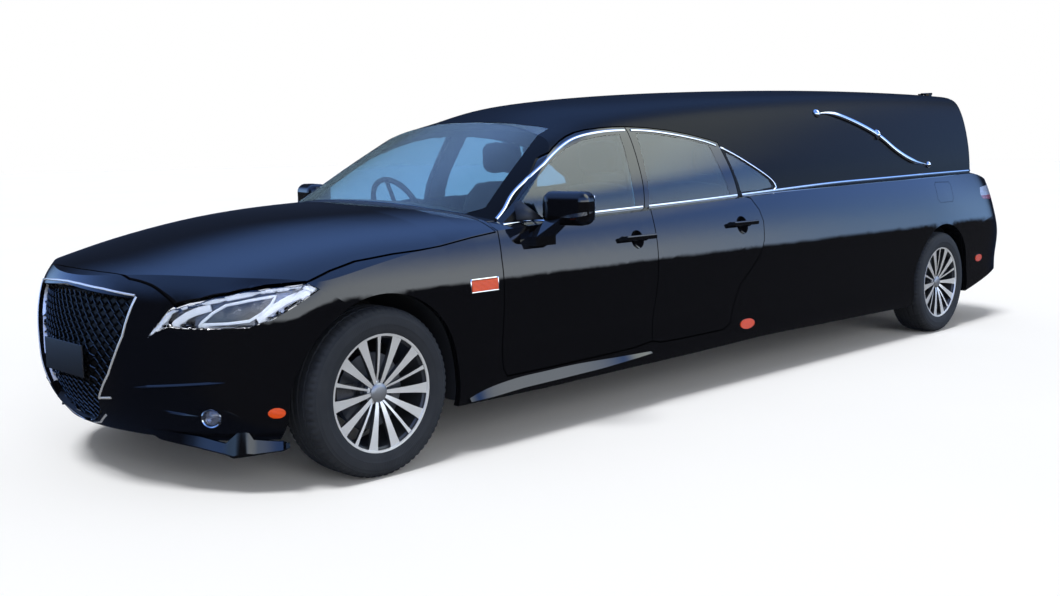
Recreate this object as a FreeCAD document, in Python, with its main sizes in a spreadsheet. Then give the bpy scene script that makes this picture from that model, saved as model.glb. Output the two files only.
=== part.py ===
"""Stretched four-door hearse, standing on its wheels.

Axes: nose toward -X, tail toward +X, left side toward -Y, +Z up from the ground.
Tables give stations in millimetres behind the front axle, half widths and heights.
"""
import FreeCAD, Part
import itertools
import math
import os
from FreeCAD import Vector, Placement, Rotation

SIZES = [
    ("wheelbase", 4670, "front axle to rear axle"),
    ("front_overhang", 870, "nose to front axle"),
    ("rear_overhang", 1105, "rear axle to tail"),
    ("body_half_width", 900, "centre plane to the widest point of the side"),
    ("roof_height", 1608, "ground to the top of the coach roof"),
    ("track", 1550, "between the tyre centre planes"),
    ("tyre_radius", 334, "outer radius of the tyre"),
    ("tyre_width", 215, "section width of the tyre"),
    ("rim_radius", 233, "radius of the rim flange"),
    ("rim_width", 196, "between the rim flanges"),
    ("arch_radius", 389, "radius of the wheel arch openings"),
    ("well_depth", 455, "centre plane to the inner wall of the wheel wells"),
    ("kingpin_offset", 40, "tyre centre plane to the steering axis"),
    ("spindle_radius", 22, "radius of the wheel spindles"),
    ("pin_radius", 11, "radius of the steering pins"),
    ("running_clearance", 0.06, "radial play of pins and spindles"),
    ("disc_radius", 150, "radius of the brake discs"),
    ("door_depth", 80, "thickness of the doors below the belt"),
    ("frame_depth", 24, "thickness of the window frames"),
    ("side_depth", 112, "thickness of the body sides"),
    ("pillar_depth", 42, "thickness of roof and pillars"),
    ("panel_depth", 30, "thickness of bonnet, fenders and bumpers"),
    ("seal_gap", 6, "gap between a closed panel and its opening"),
    ("glass_depth", 5, "thickness of the glass"),
    ("seat_gap", 0.4, "play between a closed panel and its striker or buffer"),
    ("lamp_depth", 60, "depth of the front and rear lamps"),
    ("lamp_gap", 0.3, "gap round the lamps and markers"),
    ("marker_depth", 10, "depth of the side markers in the skin"),
    ("marker_rise", 4, "height of the side markers over the skin"),
    ("bar_rise", 20, "height of the landau bars over the skin"),
    ("bar_depth", 12, "thickness of the landau bars"),
    ("gate_pin_radius", 4, "radius of the tailgate hinge pins"),
    ("slat_pitch", 37, "spacing of the grille slats"),
    ("slat_height", 15, "height of the grille slats"),
    ("floor_height", 215, "ground to the underside of the floor"),
    ("floor_depth", 40, "thickness of the floor"),
    ("deck_height", 560, "ground to the top of the casket deck"),
    ("casket_bay_start", 2900, "front axle to the partition of the load space"),
    ("engine_length", 620, "length of the engine block"),
    ("engine_width", 560, "width of the engine block"),
    ("engine_height", 520, "height of the engine block"),
    ("tank_length", 820, "length of the fuel tank"),
    ("tank_width", 600, "width of the fuel tank"),
    ("tank_height", 190, "height of the fuel tank"),
    ("pipe_radius", 30, "radius of the exhaust pipe"),
    ("silencer_length", 520, "length of the rear silencer"),
]

doc = FreeCAD.newDocument("hearse")
sheet = doc.addObject("Spreadsheet::Sheet", "Sizes")
for row, (alias, value, note) in enumerate(SIZES, 1):
    sheet.set("A%d" % row, alias)
    sheet.set("B%d" % row, str(value))
    sheet.set("C%d" % row, note)
    sheet.setAlias("B%d" % row, alias)
doc.recompute()


def size(alias):
    return float(getattr(sheet, alias))


NODES = []
FRONT_AXLE = (size("front_overhang") - size("wheelbase") - size("rear_overhang")) / 2.0
STRETCH = size("wheelbase") - 4670.0
WIDEN = size("body_half_width") / 900.0
BELT = 950.0
RAISE = (size("roof_height") - BELT) / (1608.0 - BELT)


def along(s):
    """Frame x of a station, the wheelbase stretching the load space only."""
    if s < 0:
        return FRONT_AXLE + s * size("front_overhang") / 870.0
    if s > 4670.0:
        return FRONT_AXLE + 4670.0 + STRETCH + (s - 4670.0) * size("rear_overhang") / 1105.0
    share = min(max((s - 2900.0) / 1100.0, 0.0), 1.0)
    return FRONT_AXLE + s + STRETCH * share


def across(y):
    return y * WIDEN


def up(z):
    return z if z < BELT else BELT + (z - BELT) * RAISE


def at(s, y, z):
    return Vector(along(s), across(y), up(z))


def mirrored(shape):
    return shape.mirror(Vector(0, 0, 0), Vector(0, 1, 0))


# Master surfaces

# height, half width at the doors, nose set back, tail set back
LEVELS = [
    (130, 815, 170, 170), (200, 856, 115, 80), (270, 880, 56, 26), (345, 872, 20, 0),
    (430, 868, 0, 0), (520, 880, 0, 0), (610, 888, 0, 0), (690, 888, 12, 26),
    (770, 881, 34, 58), (850, 864, 100, 72), (920, 842, 200, 80), (990, 815, 300, 90),
    (1070, 780, 420, 110), (1120, 755, 500, 130),
]

# station, height at the centre, at 520, at 760 and at the edge
TOPS = [
    (-1000, 700, 665, 600, 560), (-885, 768, 735, 660, 600), (-760, 832, 798, 722, 655),
    (-600, 872, 842, 775, 712), (-450, 909, 882, 822, 762), (-280, 947, 920, 864, 804),
    (-80, 985, 957, 900, 842), (120, 1008, 981, 928, 870), (300, 1020, 995, 944, 892),
    (500, 1028, 1006, 958, 910), (700, 1030, 1010, 968, 925), (1200, 1015, 1008, 978, 936),
    (1700, 1010, 1008, 990, 950), (2300, 1010, 1014, 1008, 970), (2900, 1020, 1028, 1026, 990),
    (3700, 1030, 1040, 1040, 1002), (4400, 1040, 1050, 1050, 1010), (5050, 1050, 1060, 1060, 1020),
    (5300, 1052, 1062, 1060, 1018), (5420, 1046, 1052, 1042, 990), (5560, 1026, 1024, 1000, 940),
    (5700, 1000, 990, 960, 905), (5850, 970, 955, 925, 870),
]

# station, belt (y, z), rail (y, z), shoulder (y, z), height at 380, height at the centre
HOUSE = [
    (300, 790, 940, 750, 1130, 640, 1180, 1215, 1225), (700, 806, 945, 710, 1180, 600, 1225, 1262, 1278),
    (1000, 812, 950, 678, 1240, 580, 1282, 1322, 1338), (1323, 815, 958, 645, 1302, 530, 1346, 1388, 1408),
    (1500, 816, 962, 630, 1345, 525, 1396, 1438, 1458), (1700, 816, 967, 614, 1386, 520, 1440, 1480, 1498),
    (2300, 812, 988, 608, 1432, 525, 1490, 1530, 1548), (3000, 803, 1015, 616, 1466, 540, 1530, 1566, 1580),
    (3800, 796, 1030, 630, 1490, 562, 1562, 1592, 1604), (4500, 792, 1040, 640, 1500, 576, 1576, 1600, 1611),
    (5000, 788, 1046, 642, 1502, 580, 1578, 1598, 1608), (5300, 785, 1050, 642, 1500, 580, 1575, 1594, 1602),
    (5600, 782, 1054, 642, 1496, 580, 1568, 1586, 1592),
]

# height, station of the windscreen centre, station of the tail centre
ENDS = [
    (600, -200, 5464), (800, 130, 5462), (950, 390, 5460), (1100, 655, 5456), (1250, 945, 5450),
    (1400, 1250, 5442), (1500, 1470, 5430), (1600, 1700, 5405), (1700, 1950, 5360),
]


def knots(count):
    spans = count - 3
    return [float(i) for i in range(spans + 1)], [4] + [1] * (spans - 1) + [4]


def skin(rows):
    u_knots, u_mults = knots(len(rows))
    v_knots, v_mults = knots(len(rows[0]))
    surface = Part.BSplineSurface()
    surface.buildFromPolesMultsKnots(rows, u_mults, v_mults, u_knots, v_knots, False, False, 3, 3)
    return surface.toShape()


def rail(poles):
    values, mults = knots(len(poles))
    curve = Part.BSplineCurve()
    curve.buildFromPolesMultsKnots(poles, mults, values, False, 3)
    return curve.toShape()


def other(p):
    return Vector(p.x, -p.y, p.z)


def flat(edges):
    return Part.Face(Part.Wire(Part.sortEdges(edges)[0]))


def closed(rows, standing):
    """Solid between a left skin, its mirror image and flat caps."""
    twin = [[other(p) for p in row] for row in rows]
    faces = [skin(rows), skin(twin)]
    for row in (rows[0], rows[-1]):
        edges = [rail(row), rail([other(p) for p in row])]
        if not standing:
            edges.append(Part.makeLine(row[0], other(row[0])))
        faces.append(flat(edges))
    if not standing:
        foot = [row[0] for row in rows]
        edges = [rail(foot), rail([other(p) for p in foot])]
        edges.append(Part.makeLine(foot[0], other(foot[0])))
        edges.append(Part.makeLine(foot[-1], other(foot[-1])))
        faces.append(flat(edges))
    shell = Part.Shell(faces)
    shell.sewShape()
    solid = Part.Solid(shell)
    if solid.Volume < 0:
        solid.reverse()
    return solid


def hull(inset):
    rows = []
    for z, wide, nose, tail in LEVELS:
        n = -870 + nose + inset
        r = 5775 - tail - inset
        w = wide - inset
        plan = [
            (n, 0), (n, -110), (n + 30, -270), (n + 92, -425), (n + 185, -580), (n + 320, -(w - 125)),
            (n + 500, -(w - 20)), (-260, -(w + 9)), (0, -(w + 12)), (330, -(w + 10)), (700, -w),
            (1700, -w), (2700, -w), (3700, -w), (4270, -(w + 6)), (4670, -(w + 12)), (5000, -(w + 4)),
            (r - 440, -(w - 6)), (r - 250, -(w - 16)), (r - 90, -(w - 62)), (r - 15, -640), (r, -350), (r, 0),
        ]
        rows.append([at(s, y, z) for s, y in plan])
    return closed(rows, True)


def topside(drop):
    rows = []
    for s, centre, middle, side, edge in TOPS:
        section = [
            (-1000, 60), (-1000, edge - 250 - drop), (-985, edge - 110 - drop), (-900, edge - 25 - drop),
            (-760, side - drop), (-520, middle - drop), (-250, centre - drop), (0, centre - drop),
        ]
        rows.append([at(s, y, z) for y, z in section])
    return closed(rows, False)


def house(inset):
    rows = []
    for s, yb, zb, yr, zr, ys, zs, z380, top in HOUSE:
        section = [
            (-(yb - 8 - inset), 720), (-(yb - inset), zb), (-((yb + yr) / 2 + 14 - inset), (zb + zr) / 2),
            (-(yr + 4 - inset), zr - inset * 0.3), (-(ys - inset * 0.7), zs - inset * 0.7),
            (-380, z380 - inset), (-180, top - inset), (0, top - inset),
        ]
        rows.append([at(s, y, z) for y, z in section])
    return closed(rows, False)


def ends(inset):
    rows = []
    for z, front, rear in ENDS:
        f = front + inset * 1.9
        r = rear - inset
        plan = [
            (f, 0), (f, -180), (f + 25, -360), (f + 95, -540), (f + 225, -700), (f + 420, -860),
            (f + 700, -1100), (2700, -1200), (4000, -1200), (r - 760, -1180), (r - 420, -880),
            (r - 190, -790), (r - 80, -690), (r - 28, -520), (r, -260), (r, 0),
        ]
        rows.append([at(s, y, z) for s, y in plan])
    return closed(rows, True)


def lower(inset):
    return hull(inset).common(topside(inset))


def upper(inset):
    return house(inset).common(ends(inset))


def whole(low, high):
    return lower(low).fuse(upper(high))


# Outlines and prisms

def offset_wire(wire, amount):
    if not amount:
        return wire
    return wire.makeOffset2D(amount, 2)


def side_prism(points, near=-1250, far=-300, grow=0.0):
    """Outline in stations and heights, swept across the left side."""
    corners = [at(s, 0, z) for s, z in points]
    wire = offset_wire(Part.makePolygon(corners + corners[:1]), grow)
    wire.translate(Vector(0, near, 0))
    return Part.Face(wire).extrude(Vector(0, far - near, 0))


HALF = math.sqrt(0.5)


def corner_prism(points, start=-1100.0, stop=-700.0, grow=0.0):
    """Outline across and above the diagonal through the left front corner, swept along that diagonal."""
    ring = [at((t + start) * HALF, (start - t) * HALF, z) for t, z in points]
    wire = offset_wire(Part.makePolygon(ring + ring[:1]), grow)
    sweep = at(stop * HALF, stop * HALF, 0) - at(start * HALF, start * HALF, 0)
    return Part.Face(wire).extrude(sweep)


def oval(centre, middle, half_length, half_height, count=24):
    """Points round an ellipse."""
    angles = [2 * math.pi * i / count for i in range(count)]
    return [(centre + half_length * math.cos(a), middle + half_height * math.sin(a)) for a in angles]


# height and half width of the outer skin where the door seams lie
SEAM_SKIN = [
    (0, 875), (300, 875), (600, 888), (800, 878), (850, 862), (915, 840), (968, 813),
    (1080, 760), (1190, 700), (1300, 640), (1345, 627), (1700, 600),
]


def seam_skin(z):
    for (z0, y0), (z1, y1) in zip(SEAM_SKIN, SEAM_SKIN[1:]):
        if z <= z1:
            return -(y0 + (y1 - y0) * (z - z0) / float(z1 - z0))
    return -SEAM_SKIN[-1][1]


def grown(points, amount):
    """Outline moved outward by an amount, the points running clockwise in (s, z)."""
    if not amount:
        return points
    area = sum(a[0] * b[1] - b[0] * a[1] for a, b in zip(points, points[1:] + points[:1]))
    turn = 1.0 if area > 0 else -1.0
    moved = []
    for before, here, after in zip(points[-1:] + points[:-1], points, points[1:] + points[:1]):
        normals = []
        for a, b in ((before, here), (here, after)):
            length = math.hypot(b[0] - a[0], b[1] - a[1])
            normals.append(((b[1] - a[1]) / length * turn, -(b[0] - a[0]) / length * turn))
        nx = normals[0][0] + normals[1][0]
        nz = normals[0][1] + normals[1][1]
        scale = 2.0 * amount / (nx * nx + nz * nz)
        moved.append((here[0] + nx * scale, here[1] + nz * scale))
    return moved


def door_prism(points, grow=0.0):
    """Door outline swept through the side; its shut faces lean so that a swinging edge draws clear."""
    split = up(965.0)
    halves = []
    for slope, bottom, top in ((0.14, 0.0, split), (0.34, split, 2000.0)):
        ring = []
        for s, z in grown(points, grow):
            ring.append(at(s - slope * (-1000.0 - seam_skin(z)), -1000.0, z))
        face = Part.Face(Part.makePolygon(ring + ring[:1]))
        sweep = face.extrude(Vector(-slope * 600.0, 600.0, 0))
        slab = Part.makeBox(9000, 2400, top - bottom, Vector(-4500, -1200, bottom))
        halves.append(sweep.common(slab))
    return halves[0].fuse(halves[1])


def plan_prism(points, bottom, top, grow=0.0):
    """Left half of an outline in stations and half widths, doubled and swept upward."""
    left = [at(s, -y, 0) for s, y in points]
    right = [other(p) for p in reversed(left) if abs(p.y) > 1e-6]
    ring = left + right
    wire = offset_wire(Part.makePolygon(ring + ring[:1]), grow)
    wire.translate(Vector(0, 0, bottom))
    return Part.Face(wire).extrude(Vector(0, 0, top - bottom))


def rear_prism(points, start, stop, grow=0.0):
    """Left half of an outline in half widths and heights, doubled and swept rearward."""
    left = [Vector(0, -across(y), up(z)) for y, z in points]
    right = [other(p) for p in reversed(left) if abs(p.y) > 1e-6]
    ring = left + right
    wire = offset_wire(Part.makePolygon(ring + ring[:1]), grow)
    wire.translate(Vector(along(start), 0, 0))
    return Part.Face(wire).extrude(Vector(along(stop) - along(start), 0, 0))


def block(s0, s1, y0, y1, z0, z1):
    low = at(s0, y0, z0)
    high = at(s1, y1, z1)
    return Part.makeBox(high.x - low.x, high.y - low.y, high.z - low.z, low)


def bar(a, b, radius):
    return Part.makeCylinder(radius, (b - a).Length, a, b - a)


# Document objects

def node(obj, label):
    obj.Label = label
    NODES.append(obj)
    return obj


def feature(label, shape):
    obj = doc.addObject("Part::Feature", label)
    obj.Shape = shape
    return node(obj, label)


def main_solid(shape):
    """The piece itself, without slivers left where curved cuts meet."""
    return max(shape.Solids, key=lambda solid: solid.Volume)


def twin(obj, label):
    """Right-hand counterpart of a left-hand piece."""
    copy = doc.addObject("Part::Mirroring", label)
    copy.Source = obj
    copy.Normal = Vector(0, 1, 0)
    copy.Base = Vector(0, 0, 0)
    return node(copy, label)


def words(text):
    for alias, value, note in SIZES:
        text = text.replace("[" + alias + "]", "Sizes." + alias)
    return text.replace("[front_axle]", "((Sizes.front_overhang - Sizes.wheelbase - Sizes.rear_overhang) / 2)")


def primitive(kind, place, turn=None, **sizes):
    obj = doc.addObject("Part::" + kind, kind)
    if turn:
        obj.Placement = Placement(Vector(0, 0, 0), turn)
    for name, text in sizes.items():
        obj.setExpression(name, words(text))
    for axis, text in zip("xyz", place):
        obj.setExpression("Placement.Base." + axis, words(text))
    return obj


def joined(label, parts):
    obj = doc.addObject("Part::MultiFuse", label)
    obj.Shapes = parts
    obj.Refine = False
    return obj


def less(label, base, tool):
    obj = doc.addObject("Part::Cut", label)
    obj.Base = base
    obj.Tool = tool
    obj.Refine = False
    return obj


ACROSS = Rotation(Vector(1, 0, 0), -90)
REARWARD = Rotation(Vector(0, 1, 0), 90)

# Shared solids

OUTER = whole(0, 0)
DOOR_INNER = lower(size("door_depth")).fuse(house(size("frame_depth")))
RING_OUTER = lower(size("door_depth") + 6).fuse(house(size("frame_depth") + 5))
INNER = whole(size("side_depth"), size("pillar_depth"))
LOWER = lower(0)
PANEL = LOWER.cut(lower(size("panel_depth")))
LOWER_SIDE = LOWER.cut(INNER)
UPPER_SIDE = upper(0).cut(LOWER).cut(INNER)
DOOR_LAYER = OUTER.cut(DOOR_INNER)
UNDERSIDE = side_prism(
    [(-1000, 50), (6000, 50), (6000, 345), (5560, 345), (4990, 222), (4500, 210), (2590, 232), (2050, 220),
     (880, 209), (386, 216), (-350, 206), (-600, 206), (-1000, 240)], -1200, 1200)


def arch(axle):
    hub = Vector(along(axle), 0, size("tyre_radius"))
    radius = size("arch_radius")
    hole = Part.makeCylinder(radius, 1100, hub - Vector(0, 1100, 0), Vector(0, 1, 0))
    below = Part.makeBox(2 * radius, 1100, hub.z, Vector(hub.x - radius, -1100, 0))
    side = hole.fuse(below)
    inner = Part.makeBox(3 * radius, size("well_depth"), 900, Vector(hub.x - 1.5 * radius, -size("well_depth"), 0))
    return side.cut(inner)


ARCHES = arch(0).fuse(arch(4670))

# Side outlines: station and height
FRONT_DOOR = [
    (640, 338), (638, 600), (640, 800), (648, 935), (690, 962), (768, 1010), (850, 1070), (942, 1130), (1020, 1176),
    (1106, 1221), (1190, 1260), (1264, 1289), (1330, 1310), (1396, 1327), (1470, 1340), (1554, 1348), (1640, 1353),
    (1722, 1354), (1720, 1330), (1674, 968), (1672, 899), (1667, 770), (1657, 605), (1640, 439), (1634, 330),
    (1500, 316), (1240, 310), (900, 306), (660, 306),
]
REAR_DOOR = [
    (1640, 330), (1646, 439), (1663, 605), (1673, 770), (1678, 899), (1680, 968), (1726, 1330), (1728, 1354),
    (1864, 1350), (2018, 1337), (2173, 1316), (2330, 1286), (2384, 1272), (2420, 1150), (2462, 990), (2525, 975),
    (2572, 915), (2586, 853), (2567, 754), (2530, 689), (2436, 605), (2353, 540), (2323, 470), (2294, 388),
    (2275, 342), (2214, 316), (1900, 314), (1700, 316),
]
FRONT_GLASS = [
    (800, 962), (838, 1030), (942, 1102), (1106, 1192), (1264, 1258), (1396, 1295), (1554, 1315), (1660, 1320),
    (1649, 1250), (1612, 1070), (1604, 975), (1327, 968), (926, 953),
]
REAR_GLASS = [
    (1715, 985), (1736, 1100), (1768, 1250), (1782, 1326), (1864, 1324), (2018, 1310), (2173, 1290), (2318, 1262),
    (2350, 1130), (2385, 1000), (2052, 990),
]
FRONT_HOLE = [
    (700, 380), (690, 600), (692, 800), (700, 900), (740, 962), (830, 1030), (942, 1106), (1106, 1196),
    (1264, 1262), (1396, 1299), (1554, 1319), (1664, 1324), (1653, 1250), (1616, 1070), (1610, 975), (1616, 899),
    (1616, 770), (1612, 605), (1598, 439), (1590, 372), (1500, 362), (1240, 356), (900, 352), (716, 354),
]
REAR_HOLE = [
    (1712, 372), (1718, 605), (1722, 770), (1724, 968), (1738, 1100), (1770, 1250), (1784, 1322), (1864, 1322),
    (2018, 1308), (2173, 1288), (2316, 1260), (2348, 1130), (2385, 1000), (2470, 940), (2528, 890), (2536, 850),
    (2520, 770), (2490, 715), (2400, 640), (2310, 566), (2275, 480), (2245, 395), (2190, 362), (1900, 358), (1740, 362),
]
QUARTER_GLASS = [
    (2436, 1222), (2452, 1150), (2488, 1012), (2660, 1016), (2790, 1028), (2765, 1068), (2622, 1142), (2500, 1200),
]
GATE = [(0, 1640), (560, 1640), (575, 1480), (640, 1240), (690, 1062), (640, 1010), (590, 950), (575, 700), (560, 662), (0, 655)]
WINDSCREEN = [(300, 0), (340, 300), (470, 560), (720, 690), (1010, 604), (1308, 508), (1266, 400), (1236, 200), (1228, 0)]
BONNET = [
    (-765, 0), (-760, 147), (-748, 263), (-739, 346), (-706, 448), (-690, 504), (-671, 558), (-617, 627), (-544, 703),
    (-458, 771), (-367, 825), (-316, 851), (-300, 960), (628, 960), (628, 744), (600, 640), (500, 480), (450, 300),
    (428, 120), (424, 0),
]
# lower edge of the bonnet along the fenders: station and height
SHOULDER = [
    (-1000, 560), (-420, 700), (-316, 796), (-207, 827), (-89, 852), (79, 868), (210, 875), (314, 883), (492, 905),
    (700, 925), (700, 1300), (-1000, 1300),
]
BUMPER_FRONT = [
    (-1000, 100), (-120, 100), (-120, 668), (-188, 714), (-219, 734), (-272, 761), (-330, 800), (-1000, 900),
]
# front lamp: distance across the diagonal and height
LAMP = [
    (426, 765), (375, 792), (238, 784), (107, 759), (-71, 725), (-111, 702), (-197, 603), (-111, 639), (11, 635),
    (185, 640), (268, 666), (349, 713),
]
REAR_LAMP = [(5302, 895), (5329, 940), (5480, 950), (6000, 950), (6000, 855), (5470, 855), (5324, 862)]
FUEL_FLAP = [(4640, 862), (4820, 862), (4846, 884), (4864, 976), (4846, 994), (4650, 998), (4630, 980), (4616, 890)]
# grille opening seen from the front: half width and height
GRILLE = [(0, 772), (398, 740), (365, 608), (295, 464), (213, 362), (190, 292), (110, 248), (0, 226)]
LANDAU = [
    (3459, 1438), (3702, 1422), (3899, 1368), (4083, 1299), (4248, 1209), (4435, 1142), (4652, 1112),
]
BUMPER_REAR = [(4930, 100), (4930, 655), (5159, 680), (5385, 723), (5480, 738), (6000, 745), (6000, 100)]
COWL = [(380, 0), (380, 735), (646, 735), (646, 0)]
GAP = size("seal_gap")
LEFT = block(-1200, 6200, -1300, 0, -50, 1900)
GLASS_LAYER = upper(1.0).cut(upper(1.0 + size("glass_depth")))


def door(outline, glass):
    panel = DOOR_LAYER.common(door_prism(outline))
    return panel.cut(side_prism(glass))


def pane(outline):
    return GLASS_LAYER.common(side_prism(outline, grow=-0.3)).cut(LOWER)


front_left = door(FRONT_DOOR, FRONT_GLASS)
rear_left = door(REAR_DOOR, REAR_GLASS)

# Body openings keep a closing ring behind the door edges
OPENINGS = door_prism(FRONT_DOOR, GAP).fuse(door_prism(REAR_DOOR, GAP))
RING_HOLES = side_prism(FRONT_HOLE).fuse(side_prism(REAR_HOLE))
DOOR_SPACE = OPENINGS.cut(RING_OUTER).fuse(RING_HOLES)
DOOR_SPACES = DOOR_SPACE.fuse(mirrored(DOOR_SPACE))
QUARTERS = side_prism(QUARTER_GLASS)
GATE_SPACE = rear_prism(GATE, 5330, 6200, GAP + 2.5)

# Spaces for the bonnet, the lamps and the markers
BONNET_SPACE = plan_prism(BONNET, 600, 1200, GAP).common(side_prism(SHOULDER, -1250, 1250, GAP))
COWL_SPACE = plan_prism(COWL, 760, 1200)
FRONT_CUT = side_prism(BUMPER_FRONT, -1250, 0)
REAR_CUT = side_prism(BUMPER_REAR, -1250, 1250)
LAMP_GAP = size("lamp_gap")
FOG_RADIUS = 38
LAMP_LAYER = LOWER.cut(lower(size("lamp_depth")))
LAMP_SPACE = corner_prism(LAMP, grow=LAMP_GAP)
REAR_LAMP_SPACE = side_prism(REAR_LAMP, -1250, 0, LAMP_GAP)


def fog_lamp(radius):
    """Cylinder of the fog lamp, along the diagonal of the left front corner."""
    offset, reach = 25.0, 1100.0
    start = at((offset - reach) * HALF, (-reach - offset) * HALF, 304)
    return Part.makeCylinder(radius, 400, start, Vector(1, 1, 0))


# outline on the side, half width of the skin there
SIDE_MARKERS = [
    ([(453, 684), (599, 684), (599, 728), (453, 728)], 890),
    (oval(2430, 319, 64, 27), 874),
    (oval(5244, 453, 53, 25), 869),
]


def marker_prisms(grow):
    """Sweeps of the side markers; the first one runs along the diagonal of the front corner."""
    depth = size("marker_depth")
    prisms = [corner_prism(oval(263, 319, 31, 20), -1000, -867 + depth, grow)]
    for outline, skin_y in SIDE_MARKERS:
        prisms.append(side_prism(outline, -1000, -across(skin_y) + depth, grow))
    return prisms


POCKETS = marker_prisms(LAMP_GAP)
POCKETS = POCKETS[0].fuse(POCKETS[1:])
FLAP_GROOVE = side_prism(FUEL_FLAP, -1250, -300).cut(side_prism(FUEL_FLAP, -1250, -300, -3.0))
FLAP_GROOVE = FLAP_GROOVE.common(LOWER).cut(lower(5))


def striker(s, z, radius, root):
    """Stub on the closing ring that the shut door rests against."""
    stub = Part.makeCylinder(radius, 300, at(s, -1000, z), Vector(0, 1, 0))
    stub = stub.common(SEAT).common(block(s - 50, s + 50, -1000, root, z - 50, z + 50))
    return stub


SEAT = lower(size("door_depth") + size("seat_gap"))
STRIKERS = [striker(1637, 650, 8, -780), striker(2541, 775, 7, -770)]

# Fixed body panels
FENDER_ZONE = PANEL.common(block(-420, 632, -1300, 0, 0, 1200))
side = LOWER_SIDE.common(block(604, 5900, -1300, -300, 0, 1200)).cut(FENDER_ZONE)
side = side.cut(COWL_SPACE).cut(BONNET_SPACE)
side = side.cut(DOOR_SPACES).cut(ARCHES).cut(UNDERSIDE).cut(GATE_SPACE).cut(REAR_CUT)
side = side.cut(POCKETS).cut(REAR_LAMP_SPACE).cut(FLAP_GROOVE)
side = main_solid(side).fuse(STRIKERS)
quarter = feature("quarter_left", main_solid(side))
twin(quarter, "quarter_right")

fender = FENDER_ZONE.common(block(-420, 632, -1300, -300, 0, 1200)).cut(COWL_SPACE)
fender = fender.cut(OPENINGS).cut(BONNET_SPACE).cut(ARCHES).cut(UNDERSIDE).cut(FRONT_CUT)
fender = fender.cut(LAMP_SPACE).cut(POCKETS)
fender = feature("fender_left", main_solid(fender))
twin(fender, "fender_right")

GRILLE_SPACE = rear_prism(GRILLE, -1000, -600)
FOG_SPACE = fog_lamp(FOG_RADIUS + LAMP_GAP)
bumper = PANEL.common(FRONT_CUT.fuse(mirrored(FRONT_CUT))).cut(BONNET_SPACE)
bumper = bumper.cut(ARCHES).cut(mirrored(ARCHES)).cut(UNDERSIDE).cut(GRILLE_SPACE)
for tool in (LAMP_SPACE, FOG_SPACE, POCKETS):
    bumper = bumper.cut(tool).cut(mirrored(tool))
feature("front_bumper", main_solid(bumper))
bumper = LOWER_SIDE.common(REAR_CUT).cut(GATE_SPACE).cut(UNDERSIDE).cut(ARCHES).cut(mirrored(ARCHES))
for tool in (POCKETS, REAR_LAMP_SPACE):
    bumper = bumper.cut(tool).cut(mirrored(tool))
bumper = main_solid(bumper)
for y in (-300, 300):
    bumper = bumper.fuse(Part.makeCylinder(6, up(658.3) - up(600), at(5700, y, 600)))
feature("rear_bumper", main_solid(bumper))

cowl = LOWER_SIDE.common(block(380, 646, -800, 800, 780, 1200))
cowl = cowl.common(COWL_SPACE).cut(BONNET_SPACE).cut(OPENINGS).cut(mirrored(OPENINGS))
feature("cowl", main_solid(cowl))

# Tailgate hinge: ears on the roof, a boss on the gate between them
GATE_AXIS = at(5337, 0, 1601.5)


def hinge_barrel(y, length, radius):
    return Part.makeCylinder(radius, length, GATE_AXIS + Vector(0, y, 0), Vector(0, 1, 0))


def roof_ears():
    shape = hinge_barrel(-441, 82, size("gate_pin_radius"))
    for y in (-441, -379):
        leaf = Part.makeBox(47, 20, 44, GATE_AXIS + Vector(-47, y, -42))
        shape = shape.fuse([hinge_barrel(y, 20, 8), leaf.common(block(5200, 5330, -600, 0, 1400, 1603.5))])
    return shape


def gate_boss():
    leaf = Part.makeBox(40, 40, 40, GATE_AXIS + Vector(2, -420, -40))
    shape = hinge_barrel(-420, 40, 8).fuse(leaf)
    return shape.cut(hinge_barrel(-430, 60, size("gate_pin_radius") + size("running_clearance")))


roof = UPPER_SIDE.cut(DOOR_SPACES).cut(QUARTERS).cut(mirrored(QUARTERS))
roof = roof.cut(plan_prism(WINDSCREEN, 900, 1500)).cut(GATE_SPACE)
roof = main_solid(roof).fuse([roof_ears(), mirrored(roof_ears())])
feature("coach_roof", roof)
screen = GLASS_LAYER.common(plan_prism(WINDSCREEN, 900, 1500, -0.3)).cut(LOWER)
feature("windscreen", main_solid(screen))
feature("quarter_glass", Part.makeCompound([pane(QUARTER_GLASS), mirrored(pane(QUARTER_GLASS))]))

# Lamps, grille and ornaments


def pair(shape):
    return Part.makeCompound(shape + [mirrored(piece) for piece in shape])


head_lamp = LAMP_LAYER.common(corner_prism(LAMP)).cut(BONNET_SPACE)
fog = LAMP_LAYER.common(fog_lamp(FOG_RADIUS))
feature("front_lamps", pair([main_solid(head_lamp), main_solid(fog)]))
tail_lamp = LAMP_LAYER.common(side_prism(REAR_LAMP, -1250, -500)).cut(GATE_SPACE)
feature("tail_lamps", pair([main_solid(tail_lamp)]))

rise = size("marker_rise")
lenses = []
for prism, shift in zip(marker_prisms(0.0), (Vector(-rise * HALF, -rise * HALF, 0),) + (Vector(0, -rise, 0),) * 3):
    lenses.append(main_solid(LOWER.translated(shift).common(prism)))
feature("side_markers", pair(lenses))


def grille():
    """Frame, slats and blank plate carrier of the nose."""
    opening = rear_prism(GRILLE, -1000, -600)
    field = rear_prism(GRILLE, -1000, -600, -14.0)
    frame = LOWER.cut(lower(26)).common(opening.cut(field))
    core = lower(10).cut(lower(26)).common(opening)
    slats = []
    z = 236.0
    while z < 760.0:
        slats.append(block(-900, -500, -500, 500, z, z + size("slat_height")))
        z += size("slat_pitch")
    stays = [block(-900, -500, y - 5, y + 5, 200, 800) for y in (-300, -180, -60, 60, 180, 300)]
    bars = core.common(slats[0].fuse(slats[1:] + stays))
    plate = block(-868, -852, -185, 145, 428, 560)
    return frame.fuse([bars, plate.common(LOWER)])


feature("grille", main_solid(grille()))

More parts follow.
